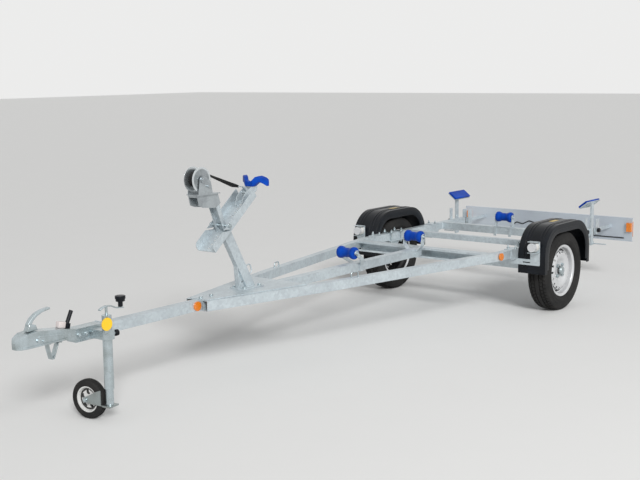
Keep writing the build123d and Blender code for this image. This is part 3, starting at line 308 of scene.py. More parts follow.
def extrude(*way):
    bpy.ops.mesh.extrude_region_move(TRANSFORM_OT_translate={"value": way})


def closeUp(piece, gap=doubleGap):
    # merges doubles and turns all faces outwards
    inEdit(piece)
    bpy.ops.mesh.remove_doubles(threshold=gap)
    bpy.ops.mesh.normals_make_consistent(inside=False)
    outEdit()


def change(piece, kind, **settings):
    # adds one modifier and applies it
    choose(piece)
    modifier = piece.modifiers.new("change", kind)
    for key, value in settings.items():
        setattr(modifier, key, value)
    bpy.ops.object.modifier_apply(modifier=modifier.name)


def roundEdges(piece, width, segments, angle):
    change(piece, "BEVEL", width=width, segments=segments, limit_method="ANGLE", angle_limit=radians(angle))


def thicken(piece, thick):
    change(piece, "SOLIDIFY", thickness=thick / 1000, offset=0.0)


def settle(piece):
    choose(piece)
    bpy.ops.object.transform_apply(location=True, rotation=True, scale=True)


def finishPiece(piece, name, body, slot, finish=None, smooth=35.0, stands=()):
    settle(piece)
    bpy.ops.object.shade_smooth_by_angle(angle=radians(smooth))
    piece.name = name
    piece.data.name = name
    piece.data.materials.clear()
    piece.data.materials.append(finish or finishes[slot])
    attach(piece, body)
    if stands:
        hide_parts(*stands)


def joined(pieces):
    choose(*pieces)
    if len(pieces) > 1:
        bpy.ops.object.join()
    return bpy.context.view_layer.objects.active


def doubled(piece):
    choose(piece)
    bpy.ops.object.duplicate()
    return bpy.context.view_layer.objects.active


def copyAt(piece, place, turn=upright):
    copy = doubled(piece)
    copy.location = place
    copy.rotation_euler = turn
    settle(copy)
    return copy


def discard(piece):
    choose(piece)
    bpy.ops.object.delete()


def setOut(piece, side, place, turn=upright):
    # moves a turned piece into place, facing left or mirrored to face right
    piece.scale = (1, side, 1)
    piece.rotation_euler = turn
    piece.location = fromAxle(*place)
    settle(piece)
    closeUp(piece)


def drawLine(points):
    # a line drawn corner by corner, left in edit mode
    bpy.ops.mesh.primitive_plane_add(size=0.001, location=(0, 0, 0))
    line = bpy.context.object
    inEdit(line, "VERT")
    bpy.ops.mesh.merge(type="CENTER")
    bpy.ops.transform.translate(value=points[0])
    for a, b in zip(points, points[1:]):
        extrude(*[q - p for p, q in zip(a, b)])
    return line


def spun(profile, steps):
    # a closed profile of (y, radius) pairs in mm, turned about the Y axis in (count, angle) steps
    line = drawLine([(0.0, y / 1000, radius / 1000) for y, radius in profile + profile[:1]])
    bpy.ops.mesh.select_all(action="SELECT")
    bpy.ops.mesh.remove_doubles(threshold=doubleGap)
    for count, angle in steps:
        bpy.ops.mesh.spin(steps=count, angle=angle, center=(0, 0, 0), axis=(0, 1, 0))
    outEdit()
    closeUp(line)
    return line


def spunEven(profile, count):
    return spun(profile, [(count, 2 * pi)])


def mirrored(half):
    # a profile's left half with the same points on the right
    return half + [(-y, radius) for y, radius in half[::-1]]


def slab(corner, opposite):
    middle = [(a + b) / 2 for a, b in zip(corner, opposite)]
    bpy.ops.mesh.primitive_cube_add(size=1.0, location=middle)
    piece = bpy.context.object
    piece.scale = [abs(b - a) for a, b in zip(corner, opposite)]
    settle(piece)
    return piece


def post(radius, low, high, count):
    # an upright cylinder at the world's middle
    place = (0, 0, (low + high) / 2)
    bpy.ops.mesh.primitive_cylinder_add(vertices=count, radius=radius, depth=high - low, location=place)
    piece = bpy.context.object
    settle(piece)
    return piece


# Nuts, heads and thread ends: hexagon with a chamfer, a washer and a cut thread
hexSizes = {
    "chamfer": 0.0012,
    "edge": 0.0004,
    "washerThick": 0.0016,
    "washerWider": 1.28,
    "washerEdge": 0.0003,
    "pitch": 0.0018,
    "threadWaist": 0.88,
}


def makeHex(across, high, boltRadius=0.0, boltOut=0.0):
    size = hexSizes
    across, high, boltRadius, boltOut = mm(across, high, boltRadius, boltOut)
    hexagon = post(across / 2 / cos(pi / 6), 0.0, high, 6)
    pickTop(hexagon)
    bpy.ops.mesh.inset(thickness=size["chamfer"])
    extrude(0, 0, size["chamfer"] * 0.5)
    outEdit()
    roundEdges(hexagon, size["edge"], 2, 30.0)
    washer = post(across / 2 * size["washerWider"], -size["washerThick"], 0.0, 32)
    roundEdges(washer, size["washerEdge"], 2, 30.0)
    parts = [hexagon, washer]
    if boltOut > 0:
        bolt = post(boltRadius, high * 0.5, high, 20)
        pickTop(bolt)
        for turn in range(int(boltOut / size["pitch"])):
            for wide in (size["threadWaist"], 1 / size["threadWaist"]):
                extrude(0, 0, size["pitch"] / 2)
                bpy.ops.transform.resize(value=(wide, wide, 1.0))
        outEdit()
        parts.append(bolt)
    return joined(parts)


# Fasteners of the frame: name, width across flats, height, bolt radius, bolt beyond the head, turn, places
clampSpots = [(x, s * (570 + o)) for x in (100, 230) for o in (-31.5, 31.5) for s in sides]
saddleSpots = [(x, s * y) for x in (385, -385) for y in (540.8, 599.2) for s in sides]
footSpots = [(2442 + o, y) for o in (84, -44) for y in (-38, 38)]
fastenerTable = [
    ("axleClampNuts", 19, 11, 5, 9, upright, [(x, y, 475.8) for x, y in clampSpots]),
    ("axleBracketNuts", 19, 9.6, 5, 5, downward, [(x, y, 405.0) for x, y in clampSpots]),
    ("saddleNuts", 17, 7, 5, 13, upright, [(x, y, 474.2) for x, y in saddleSpots]),
    ("gussetBolts", 20, 7.4, 0, 0, upright, [(2840, 0, 474.8), (2758, 0, 474.8)]),
    ("mastFootBolts", 21, 9.2, 0, 0, upright, [(x, y, 481.2) for x, y in footSpots]),
    ("couplingNutsLeft", 20, 8, 5, 5, toLeft, [(3672, 35.0, 440.5), (3716, 35.0, 440.5)]),
    ("couplingNutsRight", 20, 8, 5, 5, toRight, [(3672, -35.0, 440.5), (3716, -35.0, 440.5)]),
    ("mastNutLeft", 21, 6.6, 5.5, 4, toLeft, [(2668, 69.0, 856)]),
    ("mastNutRight", 21, 6.6, 5.5, 4, toRight, [(2668, -69.0, 856)]),
]


def hexesAt(sizes, places):
    # one fastener made once and set at each (place, turn)
    first = makeHex(*sizes)
    copies = [copyAt(first, fromAxle(*place), turn) for place, turn in places]
    discard(first)
    return joined(copies)


def makeFasteners():
    for name, across, high, radius, out, turn, places in fastenerTable:
        group = hexesAt((across, high, radius, out), [(place, turn) for place in places])
        finishPiece(group, name, "frame", "zinc_plate", smooth=30.0)
    print("fasteners:", len(fastenerTable))


# Where the road wheels are: out from the middle to the wheel plane, and the height of the axle
roadWheel = {"planeY": 704.0, "centreZ": 280.5}

# Road tyre: bead, sidewall with rings, four grooves and staggered cuts
tyreSizes = {
    "pitches": 60,
    "cut": 1.2,
    "cutDeep": -0.0045,
    "cutInset": 0.0006,
    "wallSteep": 0.12,
    "shoulder": (46.5, 64.4),
    "rib": (22.5, 40.5),
    "side": [
        (54, 169), (56, 182), (61, 186.5), (64, 188.5), (72, 195), (77.5, 204), (79.2, 212), (79.9, 214),
        (79.9, 217), (79.0, 219), (79.2, 231), (78.0, 241), (77.4, 242.5), (76.4, 242.8), (74.0, 254),
        (71.4, 262), (72.2, 263.4), (71.6, 265), (69.0, 268.6), (64.5, 273.2), (58.5, 276.6), (53.0, 278.2),
        (46.5, 279.0),
    ],
    "tread": [
        (45.5, 273.5), (41.5, 273.5), (40.5, 279.5), (22.5, 280.3), (21.0, 273.8), (15.0, 273.8), (13.5, 280.4),
    ],
    "inside": [(-30, 168), (-26, 190), (26, 190), (30, 168)],
}


def makeTyre(side, name, body, stands):
    size = tyreSizes
    pitch = 360.0 / size["pitches"]
    cuts = [size["cut"], pitch / 2 - size["cut"]] * 2 * size["pitches"]
    tyre = spun(mirrored(size["side"] + size["tread"]) + size["inside"], [(1, radians(cut)) for cut in cuts])

    def inCut(centre, normal):
        # the cuts of the left shoulder and the right rib stand half a pitch from the other two
        if abs(normal.x * centre.x + normal.z * centre.z) < size["wallSteep"]:
            return False
        turn = degrees(atan2(centre.x, centre.z)) % pitch
        first = turn < size["cut"]
        second = pitch / 2 < turn < pitch / 2 + size["cut"]
        if centre.y < 0:
            first, second = second, first
        wide = abs(centre.y) * 1000
        shoulder = size["shoulder"][0] < wide < size["shoulder"][1]
        rib = size["rib"][0] < wide < size["rib"][1]
        return (shoulder and first) or (rib and second)

    pickFaces(tyre, inCut)
    bpy.ops.mesh.inset(thickness=size["cutInset"], use_boundary=True)
    bpy.ops.mesh.extrude_region_shrink_fatten(TRANSFORM_OT_shrink_fatten={"value": size["cutDeep"]})
    outEdit()
    tyre.location = fromAxle(0, side * roadWheel["planeY"], roadWheel["centreZ"])
    finishPiece(tyre, name, body, "black_tyre", smooth=38.0, stands=[stands])


# Steel rim: rolled barrel and a pressed bowl with round vents, as distances out of the wheel plane and radii.
# The painted shade values say where near-black painted shade begins inside the barrel and on the back of the bowl,
# in metres out of the wheel plane and from the axle.
rimSizes = {
    "barrel": [
        (-62, 182.5), (-55.5, 182.5), (-53, 168), (-32, 165), (-20, 146), (12, 146), (26, 165), (53, 168),
        (55.5, 182.5), (62, 182.5), (61.2, 178), (58, 166.5), (54, 163), (27, 161), (13, 142), (-21, 142),
        (-33, 161), (-54, 163), (-58, 166.5), (-61.2, 178),
    ],
    "bowl": [
        (34.2, 30.6), (34.2, 64), (37, 70), (45, 80), (50, 92), (52, 104), (52, 115), (49, 127), (41, 137.5),
        (28, 142.2), (8, 142.2), (8, 138.5), (25, 138.5), (36.5, 134.5), (44.5, 125), (48, 113.5), (48, 104),
        (46, 93), (41.5, 82), (34, 72.5), (30.3, 66), (30.3, 30.6),
    ],
    "edge": 0.0022,
    "vents": 18,
    "ventCircle": 128.0,
    "ventRadius": 8.0,
    "ventLong": 0.08,
    "paintedShadeBarrel": {"deep": 0.0215, "out": 0.1655},
    "paintedShadeBowl": {"out": 0.1395, "in": 0.09, "crownDeep": 0.050, "crownOut": 0.104, "curve": 8.5},
}


def makeRimFinish(side, name):
    # silver outside, with near-black painted shade on the back of the bowl and inside the barrel behind it
    finish = Finish(name, Coat_Weight=0.25, Coat_Roughness=0.15, Metallic=0.25)
    barrel, bowl = rimSizes["paintedShadeBarrel"], rimSizes["paintedShadeBowl"]
    planeY, centreZ = mm(roadWheel["planeY"], roadWheel["centreZ"])
    deep = finish.y * side - planeY
    dx = finish.x + middleX
    dz = finish.z - centreZ
    out = (dx * dx + dz * dz).root()
    # painted shade: the barrel's inside behind the bowl is darkened
    barrelShade = (deep < barrel["deep"]) * (out < barrel["out"])
    crown = out - bowl["crownOut"]
    inBowl = (out < bowl["out"]) * (out > bowl["in"])
    # painted shade: the back of the bowl, inside its crown, is darkened
    bowlShade = inBowl * (deep < bowl["crownDeep"] - crown * crown * bowl["curve"])
    # the last two values are the painted shade mask and its near-black tone
    return paintCoat(
        finish, tone(0.60, 0.61, 0.62), tone(0.46, 0.46, 0.46), 0.3, barrelShade.largest(bowlShade),
        tone(0.012, 0.012, 0.013),
    )


def makeRim(side, name, body, node):
    size = rimSizes
    barrel = spunEven(size["barrel"], 96)
    roundEdges(barrel, size["edge"], 3, 22.0)
    bowl = spunEven(size["bowl"], 96)
    first = post(size["ventRadius"] / 1000, 0.0, size["ventLong"], 20)
    cutters = []
    for i in range(size["vents"]):
        angle = 2 * pi * i / size["vents"]
        place = mm(size["ventCircle"] * cos(angle), 0, size["ventCircle"] * sin(angle))
        cutters.append(copyAt(first, place, toLeft))
    discard(first)
    cutter = joined(cutters)
    change(bowl, "BOOLEAN", operation="DIFFERENCE", object=cutter)
    discard(cutter)
    rim = joined([barrel, bowl])
    rim.scale = (1, side, 1)
    rim.location = fromAxle(0, side * roadWheel["planeY"], roadWheel["centreZ"])
    settle(rim)
    if side < 0:
        inEdit(rim)
        bpy.ops.mesh.normals_make_consistent(inside=False)
        outEdit()
    finish = makeRimFinish(side, name + "Paint")
    finishPiece(rim, name, body, "silver_rim", finish, smooth=32.0, stands=[node])


# Wheel nuts, cap and valve
wheelSizes = {
    "faceY": 734.0,
    "circle": 50.0,
    "nuts": 4,
    "nut": (21, 12.5),
    "nutOut": 5.2,
    "cap": [
        (16, 29.5), (23, 29.5), (24.5, 28.6), (29, 27.4), (31.5, 25.5), (33, 21), (33.8, 12), (34, 0.01),
        (20, 0.01),
    ],
    "stem": [
        (0, 5.4), (4, 5.2), (7, 3.6), (22, 3.4), (24, 4.3), (33, 4.2), (34.5, 3.2), (34.5, 0.01), (0, 0.01),
    ],
    "stemLean": -16.0,
    "stemBack": 13.0,
    "stemUp": 137.0,
}


def makeWheelTrim(side, body, word):
    size = wheelSizes
    centreZ = roadWheel["centreZ"]
    turn = toLeft if side > 0 else toRight
    places = []
    for i in range(size["nuts"]):
        angle = 2 * pi / size["nuts"] * i + pi / 4
        x = size["circle"] * cos(angle)
        z = centreZ + size["circle"] * sin(angle)
        places.append(((x, side * (size["faceY"] + size["nutOut"]), z), turn))
    finishPiece(hexesAt(size["nut"], places), "wheelNuts" + word, body, "zinc_plate", smooth=30.0)
    cap = spunEven(size["cap"], 48)
    setOut(cap, side, (0, side * size["faceY"], centreZ))
    finishPiece(cap, "greaseCap" + word, body, "zinc_plate", smooth=40.0)
    stem = spunEven(size["stem"], 20)
    place = (0, side * (size["faceY"] - size["stemBack"]), centreZ + size["stemUp"])
    setOut(stem, side, place, (side * radians(size["stemLean"]), 0, 0))
    finishPiece(stem, "valveStem" + word, body, "black_plastic", smooth=40.0)


# Keel rollers: waisted blue polymer with a bead at each end, and a steel bush
rollerSizes = {
    "profile": [
        (-64, 8.1), (-64, 33), (-63, 36.5), (-59, 39.2), (-54, 40), (-45, 39.6), (-40, 38.6), (-34, 36),
        (-26, 32.4), (-18, 30.4), (-6, 29.9), (-5.4, 30.6), (5.4, 30.6), (6, 29.9),
    ],
    "middle": -6.5,
    "bush": [(-66, 8.3), (-66, 14), (-64.4, 14.6), (-63, 14.6), (-63, 8.3)],
    "places": [("front", 1500.0, 543.0), ("middle", 730.0, 553.0), ("rear", -540.0, 546.0)],
}


def makeRollers():
    left = rollerSizes["profile"]
    profile = left + [(-y, r) for y, r in left[::-1] if y < rollerSizes["middle"]]
    for word, x, z in rollerSizes["places"]:
        body = "roller_" + word
        roller = spunEven(profile, 72)
        roller.location = fromAxle(x, 0, z)
        finishPiece(roller, "keelRoller_" + word, body, "blue_rubber", smooth=40.0, stands=["keel_roller_" + word])
        bush = spunEven(rollerSizes["bush"], 32)
        bush = joined([bush, copyAt(bush, (0, 0, 0), (0, 0, pi))])
        bush.location = fromAxle(x, 0, z)
        finishPiece(bush, "rollerBush_" + word, body, "zinc_plate", smooth=40.0)
    print("keel rollers made")


# Roller pins: a washer and a split ring at each end
pinSizes = {
    "washer": [(75.2, 8.2), (75.2, 14), (77.4, 14), (77.4, 8.2)],
    "ringRadius": 0.0052,
    "ringWire": 0.0012,
    "ringOut": 0.0808,
    "ringUp": 0.0105,
}


def makePinTrim():
    size = pinSizes
    made = []
    for word, x, z in rollerSizes["places"]:
        for side in sides:
            washer = spunEven(size["washer"], 28)
            washer.scale = (1, side, 1)
            bpy.ops.mesh.primitive_torus_add(
                major_radius=size["ringRadius"], minor_radius=size["ringWire"], major_segments=20,
                minor_segments=8, location=(0, side * size["ringOut"], size["ringUp"]), rotation=(0, pi / 2, 0),
            )
            pair = joined([washer, bpy.context.object])
            settle(pair)
            closeUp(pair)
            pair.location = fromAxle(x, 0, z)
            settle(pair)
            made.append(pair)
    finishPiece(joined(made), "rollerPinTrim", "frame", "zinc_plate")
    print("roller pins dressed")


# Hull pads: rounded blue slabs with a shallow sunk field on top
padSizes = {
    "x": -815.0,
    "y": 576.0,
    "z": 662.0,
    "tilt": 38.0,
    "half": (117.0, 41.5),
    "low": -6.8,
    "high": 9.1,
    "round": 0.011,
    "rim": 0.004,
    "sunk": 0.0015,
}


def makePads():
    size = padSizes
    wide, deep = size["half"]
    made = []
    for side in sides:
        pad = slab(mm(-wide, -deep, size["low"]), mm(wide, deep, size["high"]))
        inEdit(pad)
        bpy.ops.mesh.bevel(offset=size["round"], segments=5, affect="EDGES", clamp_overlap=True)
        outEdit()
        pickTop(pad, 0.99)
        bpy.ops.mesh.inset(thickness=size["rim"])
        extrude(0, 0, -size["sunk"])
        bpy.ops.mesh.inset(thickness=size["sunk"])
        outEdit()
        pad.rotation_euler = (radians(size["tilt"]) * side, 0, 0)
        pad.location = fromAxle(size["x"], side * size["y"], size["z"])
        settle(pad)
        made.append(pad)
    finishPiece(joined(made), "hullPads", "frame", "blue_rubber", smooth=45.0, stands=["side_pads"])
    print("hull pads made")


# Pieces that keep the CAD form and only get rounded edges: node, name, slot, edge width, segments, angle
roundedSizes = {"gap": 0.00002, "flat": 0.6}
roundedTable = [
    ("bow_stop_block", "bowStopBlock", "blue_rubber", 0.0085, 5, 12.0),
    ("coupling_lever", "couplingLever", "zinc_plate", 0.0022, 3, 25.0),
    ("jockey_knobs", "jockeyKnobs", "black_plastic", 0.003, 3, 30.0),
    ("clamp_knobs", "clampKnobs", "black_plastic", 0.003, 3, 30.0),
    ("light_plug", "lightPlug", "grey_plastic", 0.003, 3, 30.0),
    ("plug_holder", "plugHolder", "black_plastic", 0.0015, 2, 30.0),
    ("jockey_crank", "jockeyCrank", "zinc_plate", 0.0012, 2, 25.0),
]


def makeRounded():
    for node, name, slot, width, segments, angle in roundedTable:
        copy = doubled(frame["nodes"][node])
        closeUp(copy, roundedSizes["gap"])
        inEdit(copy)
        bpy.ops.mesh.dissolve_limited(angle_limit=radians(roundedSizes["flat"]))
        outEdit()
        roundEdges(copy, width, segments, angle)
        finishPiece(copy, name, "frame", slot, smooth=40.0, stands=[node])
    print("rounded pieces:", len(roundedTable))


# Winch strap: wound webbing on the drum and a run that turns flat on its way to the hook.
# The spans are shares of the run's length, counted from the hook.
strapSizes = {
    "drum": (2850.0, 9.0, 1125.0),
    "core": 21.2,
    "outer": 40.6,
    "gap": 1.9,
    "steps": 30,
    "half": 25.0,
    "thick": 1.4,
    "end": (2551.0, 1063.0),
    "aboveRoll": 7.0,
    "spanAtDrum": 1.03,
    "spanAtHook": 0.015,
    "twistStart": -9.0,
    "twistEnd": 15.0,
    "runSteps": (28, 4),
    "fold": (24.0, 5.2, 6.8),
}


def makeStrapRoll():
    size = strapSizes
    count = int((size["outer"] - size["core"]) / size["gap"] * size["steps"])
    points = []
    for i in range(count + 1):
        angle = 2 * pi * i / size["steps"]
        radius = size["core"] + size["gap"] * i / size["steps"]
        points.append(mm(radius * sin(angle), -size["half"], radius * cos(angle)))
    x, y, z = points[0]
    roll = drawLine([points[0], (x, -y, z)])
    bpy.ops.mesh.select_all(action="SELECT")
    for a, b in zip(points, points[1:]):
        extrude(*[q - p for p, q in zip(a, b)])
    outEdit()
    thicken(roll, size["thick"])
    roll.location = fromAxle(*size["drum"])
    finishPiece(roll, "strapRoll", "strap_drum", "webbing", smooth=40.0, stands=["strap_roll"])


def makeStrapRun():
    # a long strip whose corners are moved to the turning line
    size = strapSizes
    drumX, drumY, drumZ = size["drum"]
    endX, endZ = size["end"]
    reach = size["outer"] + size["aboveRoll"]
    distance = sqrt((drumX - endX) ** 2 + (drumZ - endZ) ** 2)
    rise = atan2(drumZ - endZ, drumX - endX) + asin(reach / distance)
    length = sqrt(distance ** 2 - reach ** 2)
    stepsAlong, stepsAcross = size["runSteps"]
    bpy.ops.mesh.primitive_grid_add(
        x_subdivisions=stepsAlong, y_subdivisions=stepsAcross, size=1.0, location=(0, 0, 0)
    )
    run = bpy.context.object
    for corner in run.data.vertices:
        along = corner.co.x + 0.5
        across = corner.co.y * 2 * size["half"]
        twist = radians(size["twistStart"] + (size["twistEnd"] - size["twistStart"]) * along)
        span = length * (size["spanAtDrum"] + (size["spanAtHook"] - size["spanAtDrum"]) * along)
        lift = across * sin(twist)
        x = endX + span * cos(rise) - lift * sin(rise)
        z = endZ + span * sin(rise) + lift * cos(rise)
        corner.co = fromAxle(x, drumY + across * cos(twist), z)
    closeUp(run)
    thicken(run, size["thick"])
    half, inner, outer = size["fold"]
    left, right = drumY - half, drumY + half
    fold = spunEven([(left, inner), (right, inner), (right, outer), (left, outer)], 32)
    fold.location = fromAxle(endX, 0, endZ)
    settle(fold)
    finishPiece(joined([run, fold]), "strapRun", "frame", "webbing", smooth=40.0, stands=["winch_strap"])
    print("strap made, run", round(length), "mm")


# Jockey wheel: ribbed tyre and a nut at each end of its axle
jockeySizes = {
    "x": 3621.0,
    "y": 127.0,
    "z": 100.0,
    "trail": 129.5,
    "turn": -82.0,
    "nut": (19, 8, 5, 4),
    "nutOut": 35.4,
    # half-width about the middle plane that is painted near black as shade inside the rim's windows
    "windowShadeDeep": 0.0085,
    "profile": [
        (-21, 66.4), (-23.6, 68), (-24.6, 72), (-25, 79), (-24.4, 86), (-22.6, 92), (-19, 96.4), (-14.5, 98.8),
        (-13.4, 96.4), (-11.6, 96.4), (-10.6, 99.5), (-4.4, 99.9), (-3.4, 97.2), (-1.6, 97.2), (-0.8, 99.9),
    ],
}


def jockeyPlace():
    # the turn of the fork, and the middle of its wheel
    size = jockeySizes
    turn = radians(size["turn"])
    return turn, (size["x"] + size["trail"] * cos(turn), size["y"] + size["trail"] * sin(turn), size["z"])


def makeJockeyTyre():
    size = jockeySizes
    turn, (x, y, z) = jockeyPlace()
    tyre = spunEven(mirrored(size["profile"]), 72)
    tyre.rotation_euler = (0, 0, turn)
    tyre.location = fromAxle(x, y, z)
    finishPiece(tyre, "jockeyTyre", "jockey_wheel", "black_tyre", smooth=40.0, stands=["jockey_tyre"])
    places = []
    for side in sides:
        out = side * size["nutOut"]
        places.append(((x - out * sin(turn), y + out * cos(turn), z), (-side * pi / 2, 0, turn)))
    finishPiece(hexesAt(size["nut"], places), "jockeyAxleNuts", "jockey_swivel", "zinc_plate", smooth=30.0)
    print("jockey tyre made")


# Weld beads: one drop repeated along each seam, from its start to its end
seamSizes = {"radius": 0.0034, "step": 0.0036}
middleSeams = [
    ((2412, -15.5, 474), (2470, -15.5, 480)), ((2412, 15.5, 474), (2470, 15.5, 480)),
    ((2473, -15, 480), (2473, 15, 480)), ((3557, -33, 474), (3557, 33, 474)),
]
leftSeams = [
    ((661, 536, 397), (661, 536, 466)), ((609, 541, 397), (609, 541, 466)),
    ((20, 545, 430), (20, 545, 467)), ((-20, 545, 430), (-20, 545, 467)),
    ((-507, 545, 415), (-507, 545, 467)), ((-563, 545, 415), (-563, 545, 467)),
    ((130, 545, 371), (130, 615, 371)), ((200, 545, 371), (200, 615, 371)),
]


def makeSeams():
    seams = middleSeams[:]
    for a, b in leftSeams:
        seams += [(a, b), ((a[0], -a[1], a[2]), (b[0], -b[1], b[2]))]
    made = []
    for a, b in seams:
        bpy.ops.mesh.primitive_uv_sphere_add(
            segments=10, ring_count=6, radius=seamSizes["radius"], location=(0, 0, 0)
        )
        drop = bpy.context.object
        start = Vector(fromAxle(*a))
        step = Vector(fromAxle(*b)) - start
        count = max(2, int(step.length / seamSizes["step"]))
        change(
            drop, "ARRAY", use_relative_offset=False, use_constant_offset=True,
            constant_offset_displace=step / count, count=count,
        )
        drop.location = start
        settle(drop)
        made.append(drop)
    finishPiece(joined(made), "weldSeams", "frame", "galvanised", smooth=60.0)
    print("weld seams:", len(seams))


# Mudguard lips: a deeper turned edge on the outside and one on the inside, along sides, corners and top,
# and two ribs over the top
lipSizes = {
    "front": 352.0,
    "rear": -335.0,
    "top": 626.0,
    "corner": 210.0,
    "foot": 330.0,
    "bends": 12,
    "lips": (803.9, 603.9),
    "start": 2.0,
    "deep": 61.0,
    "thick": 3.0,
    "ribs": (640.0, 662.0),
    "ribWide": 8.0,
    "ribHigh": 2.5,
    "ribSunk": 1.0,
    "edge": 0.0012,
}


def guardOutline(inset):
    # the side view of the guard, moved inwards
    size = lipSizes
    corner = size["corner"] - inset
    front, rear, top = size["front"] - inset, size["rear"] + inset, size["top"] - inset
    angles = [pi / 2 * i / size["bends"] for i in range(size["bends"] + 1)]
    points = [(rear, size["foot"])]
    points += [(rear + corner * (1 - cos(a)), top - corner * (1 - sin(a))) for a in angles]
    points += [(front - corner * (1 - sin(a)), top - corner * (1 - cos(a))) for a in angles]
    points.append((front, size["foot"]))
    return [fromAxle(x, 0, z) for x, z in points]


def makeGuardLips():
    size = lipSizes
    bands = [(y, size["start"], size["deep"], size["thick"]) for y in size["lips"]]
    bands += [(y + size["ribWide"] / 2, -size["ribHigh"], size["ribSunk"], size["ribWide"]) for y in size["ribs"]]
    made = []
    for side in sides:
        for y, start, deep, thick in bands:
            rows = []
            for inset in (start, deep):
                rows.append(drawLine(guardOutline(inset)))
                outEdit()
            lip = joined(rows)
            inEdit(lip, "EDGE")
            bpy.ops.mesh.bridge_edge_loops()
            outEdit()
            lip.location = (0, side * y / 1000, 0)
            settle(lip)
            thicken(lip, thick)
            closeUp(lip)
            roundEdges(lip, size["edge"], 2, 40.0)
            made.append(lip)
    finishPiece(joined(made), "guardLips", "frame", "black_plastic")
    print("mudguard lips made")


# Blank patches on top of the mudguards
patchSizes = {"low": (-60, 660, 626.1), "high": (36, 700, 626.9), "edge": 0.0003}


def makePatches():
    made = []
    for side in sides:
        low, high = [fromAxle(x, side * y, z) for x, y, z in (patchSizes["low"], patchSizes["high"])]
        patch = slab(low, high)
        roundEdges(patch, patchSizes["edge"], 2, 30.0)
        made.append(patch)
    finish = makeMoulded("sandPatch", tone(0.62, 0.45, 0.12), tone(0.70, 0.53, 0.18), 0.35, 0.5, 900.0, 0.05)
    finishPiece(joined(made), "guardPatches", "frame", "yellow_lens", finish, smooth=30.0)
    print("patches made")


# Lamps: bezels of the round lamps, and the rear clusters in three parts, each part a share of the width
lampSizes = {
    "x": 388.3,
    "y": 731.0,
    "z": 492.0,
    "bezel": [(-30, 34.4), (-10, 34.4), (-5, 33.4), (-1, 31.6), (-0.4, 30.4), (-6, 30.2), (-30, 30.2)],
    "rear": (-1274.9, -1225.3),
    "high": (354.0, 486.0),
    "wide": (548.0, 746.0),
    "shares": [("amber_lens", 0.0, 0.34), ("white_lens", 0.34, 0.62), ("red_lens", 0.62, 1.0)],
    "housingIn": 16.0,
    "housingEdge": 0.004,
    "lensThick": 17.0,
    "lensGap": 2.5,
    "lensRim": 5.0,
    "lensEdge": 0.003,
}


def makeLampTrim():
    size = lampSizes
    rings = []
    for side in sides:
        bezel = spunEven(size["bezel"], 56)
        bezel.rotation_euler = (0, 0, -pi / 2)
        bezel.location = fromAxle(size["x"], side * size["y"], size["z"])
        settle(bezel)
        rings.append(bezel)
    finishPiece(joined(rings), "lampBezels", "frame", "white_lens", finishes["white_rim"])
    back, face = size["rear"]
    low, high = size["high"]
    rim, gap = size["lensRim"], size["lensGap"]
    for side, word in zip(sides, ("Left", "Right")):
        inner, outer = [side * y for y in size["wide"]]
        housing = slab(fromAxle(back + size["housingIn"], inner, low), fromAxle(face, outer, high))
        roundEdges(housing, size["housingEdge"], 3, 30.0)
        stands = ["rear_lamps"] if side > 0 else []
        finishPiece(housing, "rearLampHousing" + word, "frame", "black_plastic", stands=stands)
        for i, (slot, start, end) in enumerate(size["shares"]):
            a = inner + (outer - inner) * (1 - start) - side * gap
            b = inner + (outer - inner) * (1 - end) + side * gap
            lens = slab(fromAxle(back, a, low + rim), fromAxle(back + size["lensThick"], b, high - rim))
            roundEdges(lens, size["lensEdge"], 3, 30.0)
            finishPiece(lens, "rearLens%s%d" % (word, i), "frame", slot)
    print("lamps dressed")


# Red triangles on the back of the light board
triangleSizes = {
    "x": -1225.2,
    "y": 425.0,
    "z": 414.0,
    "radius": 0.082,
    "thick": 0.006,
    "border": 0.011,
    "step": 0.001,
    "raise": 0.0015,
    "edge": 0.0012,
}


def makeTriangles():
    size = triangleSizes
    made = []
    for side in sides:
        plate = post(size["radius"], 0.0, size["thick"], 3)
        pickTop(plate)
        bpy.ops.mesh.inset(thickness=size["border"])
        bpy.ops.mesh.inset(thickness=size["step"])
        extrude(0, 0, size["raise"])
        outEdit()
        roundEdges(plate, size["edge"], 3, 30.0)
        plate.rotation_euler = (pi / 2, 0, -pi / 2)
        plate.location = fromAxle(size["x"], side * size["y"], size["z"])
        settle(plate)
        made.append(plate)
    finishPiece(joined(made), "rearTriangles", "frame", "red_lens", smooth=30.0)
    print("triangles made")


makeFasteners()
for side, word in zip(sides, ("left", "right")):
    makeTyre(side, "roadTyre" + word.title(), "wheel_" + word, "tyre_" + word)
for side, word in zip(sides, ("left", "right")):
    makeRim(side, "steelRim" + word.title(), "wheel_" + word, "rim_" + word)
for side, word in zip(sides, ("left", "right")):
    makeWheelTrim(side, "wheel_" + word, word.title())
print("road wheels made")
makeRollers()
makePinTrim()
makePads()
makeRounded()
makeStrapRoll()
makeStrapRun()
makeJockeyTyre()
makeSeams()
makeGuardLips()
makePatches()
makeLampTrim()
makeTriangles()


# Winch discs: zinc plate with turned rings about the drum, and a painted highlight as a bright band round the rim
discSizes = {"rings": 2600.0, "highlightStart": 0.055, "highlightEnd": 0.062}


def makeDiscFinish():
    finish = Finish("turnedDisc", Metallic=0.85)
    x0, y0, z0 = fromAxle(*strapSizes["drum"])
    dx = finish.x - x0
    dz = finish.z - z0
    radius = (dx * dx + dz * dz).root()
    clouds = finish.noise(18.0, 3.0, 0.6)
    plate = finish.mix(clouds.smooth(0.3, 0.75), tone(0.40, 0.43, 0.45), tone(0.27, 0.30, 0.31))
    # painted highlight: a bright band near the disc's outer edge
    rim = radius.smooth(discSizes["highlightStart"], discSizes["highlightEnd"])
    finish.feed("Base Color", finish.mix(rim, plate, tone(0.72, 0.76, 0.78)))
    finish.feed("Roughness", 0.22 + 0.12 * clouds)
    finish.bump((radius * discSizes["rings"]).wave(), 0.12, 0.0003)
    return finish.material


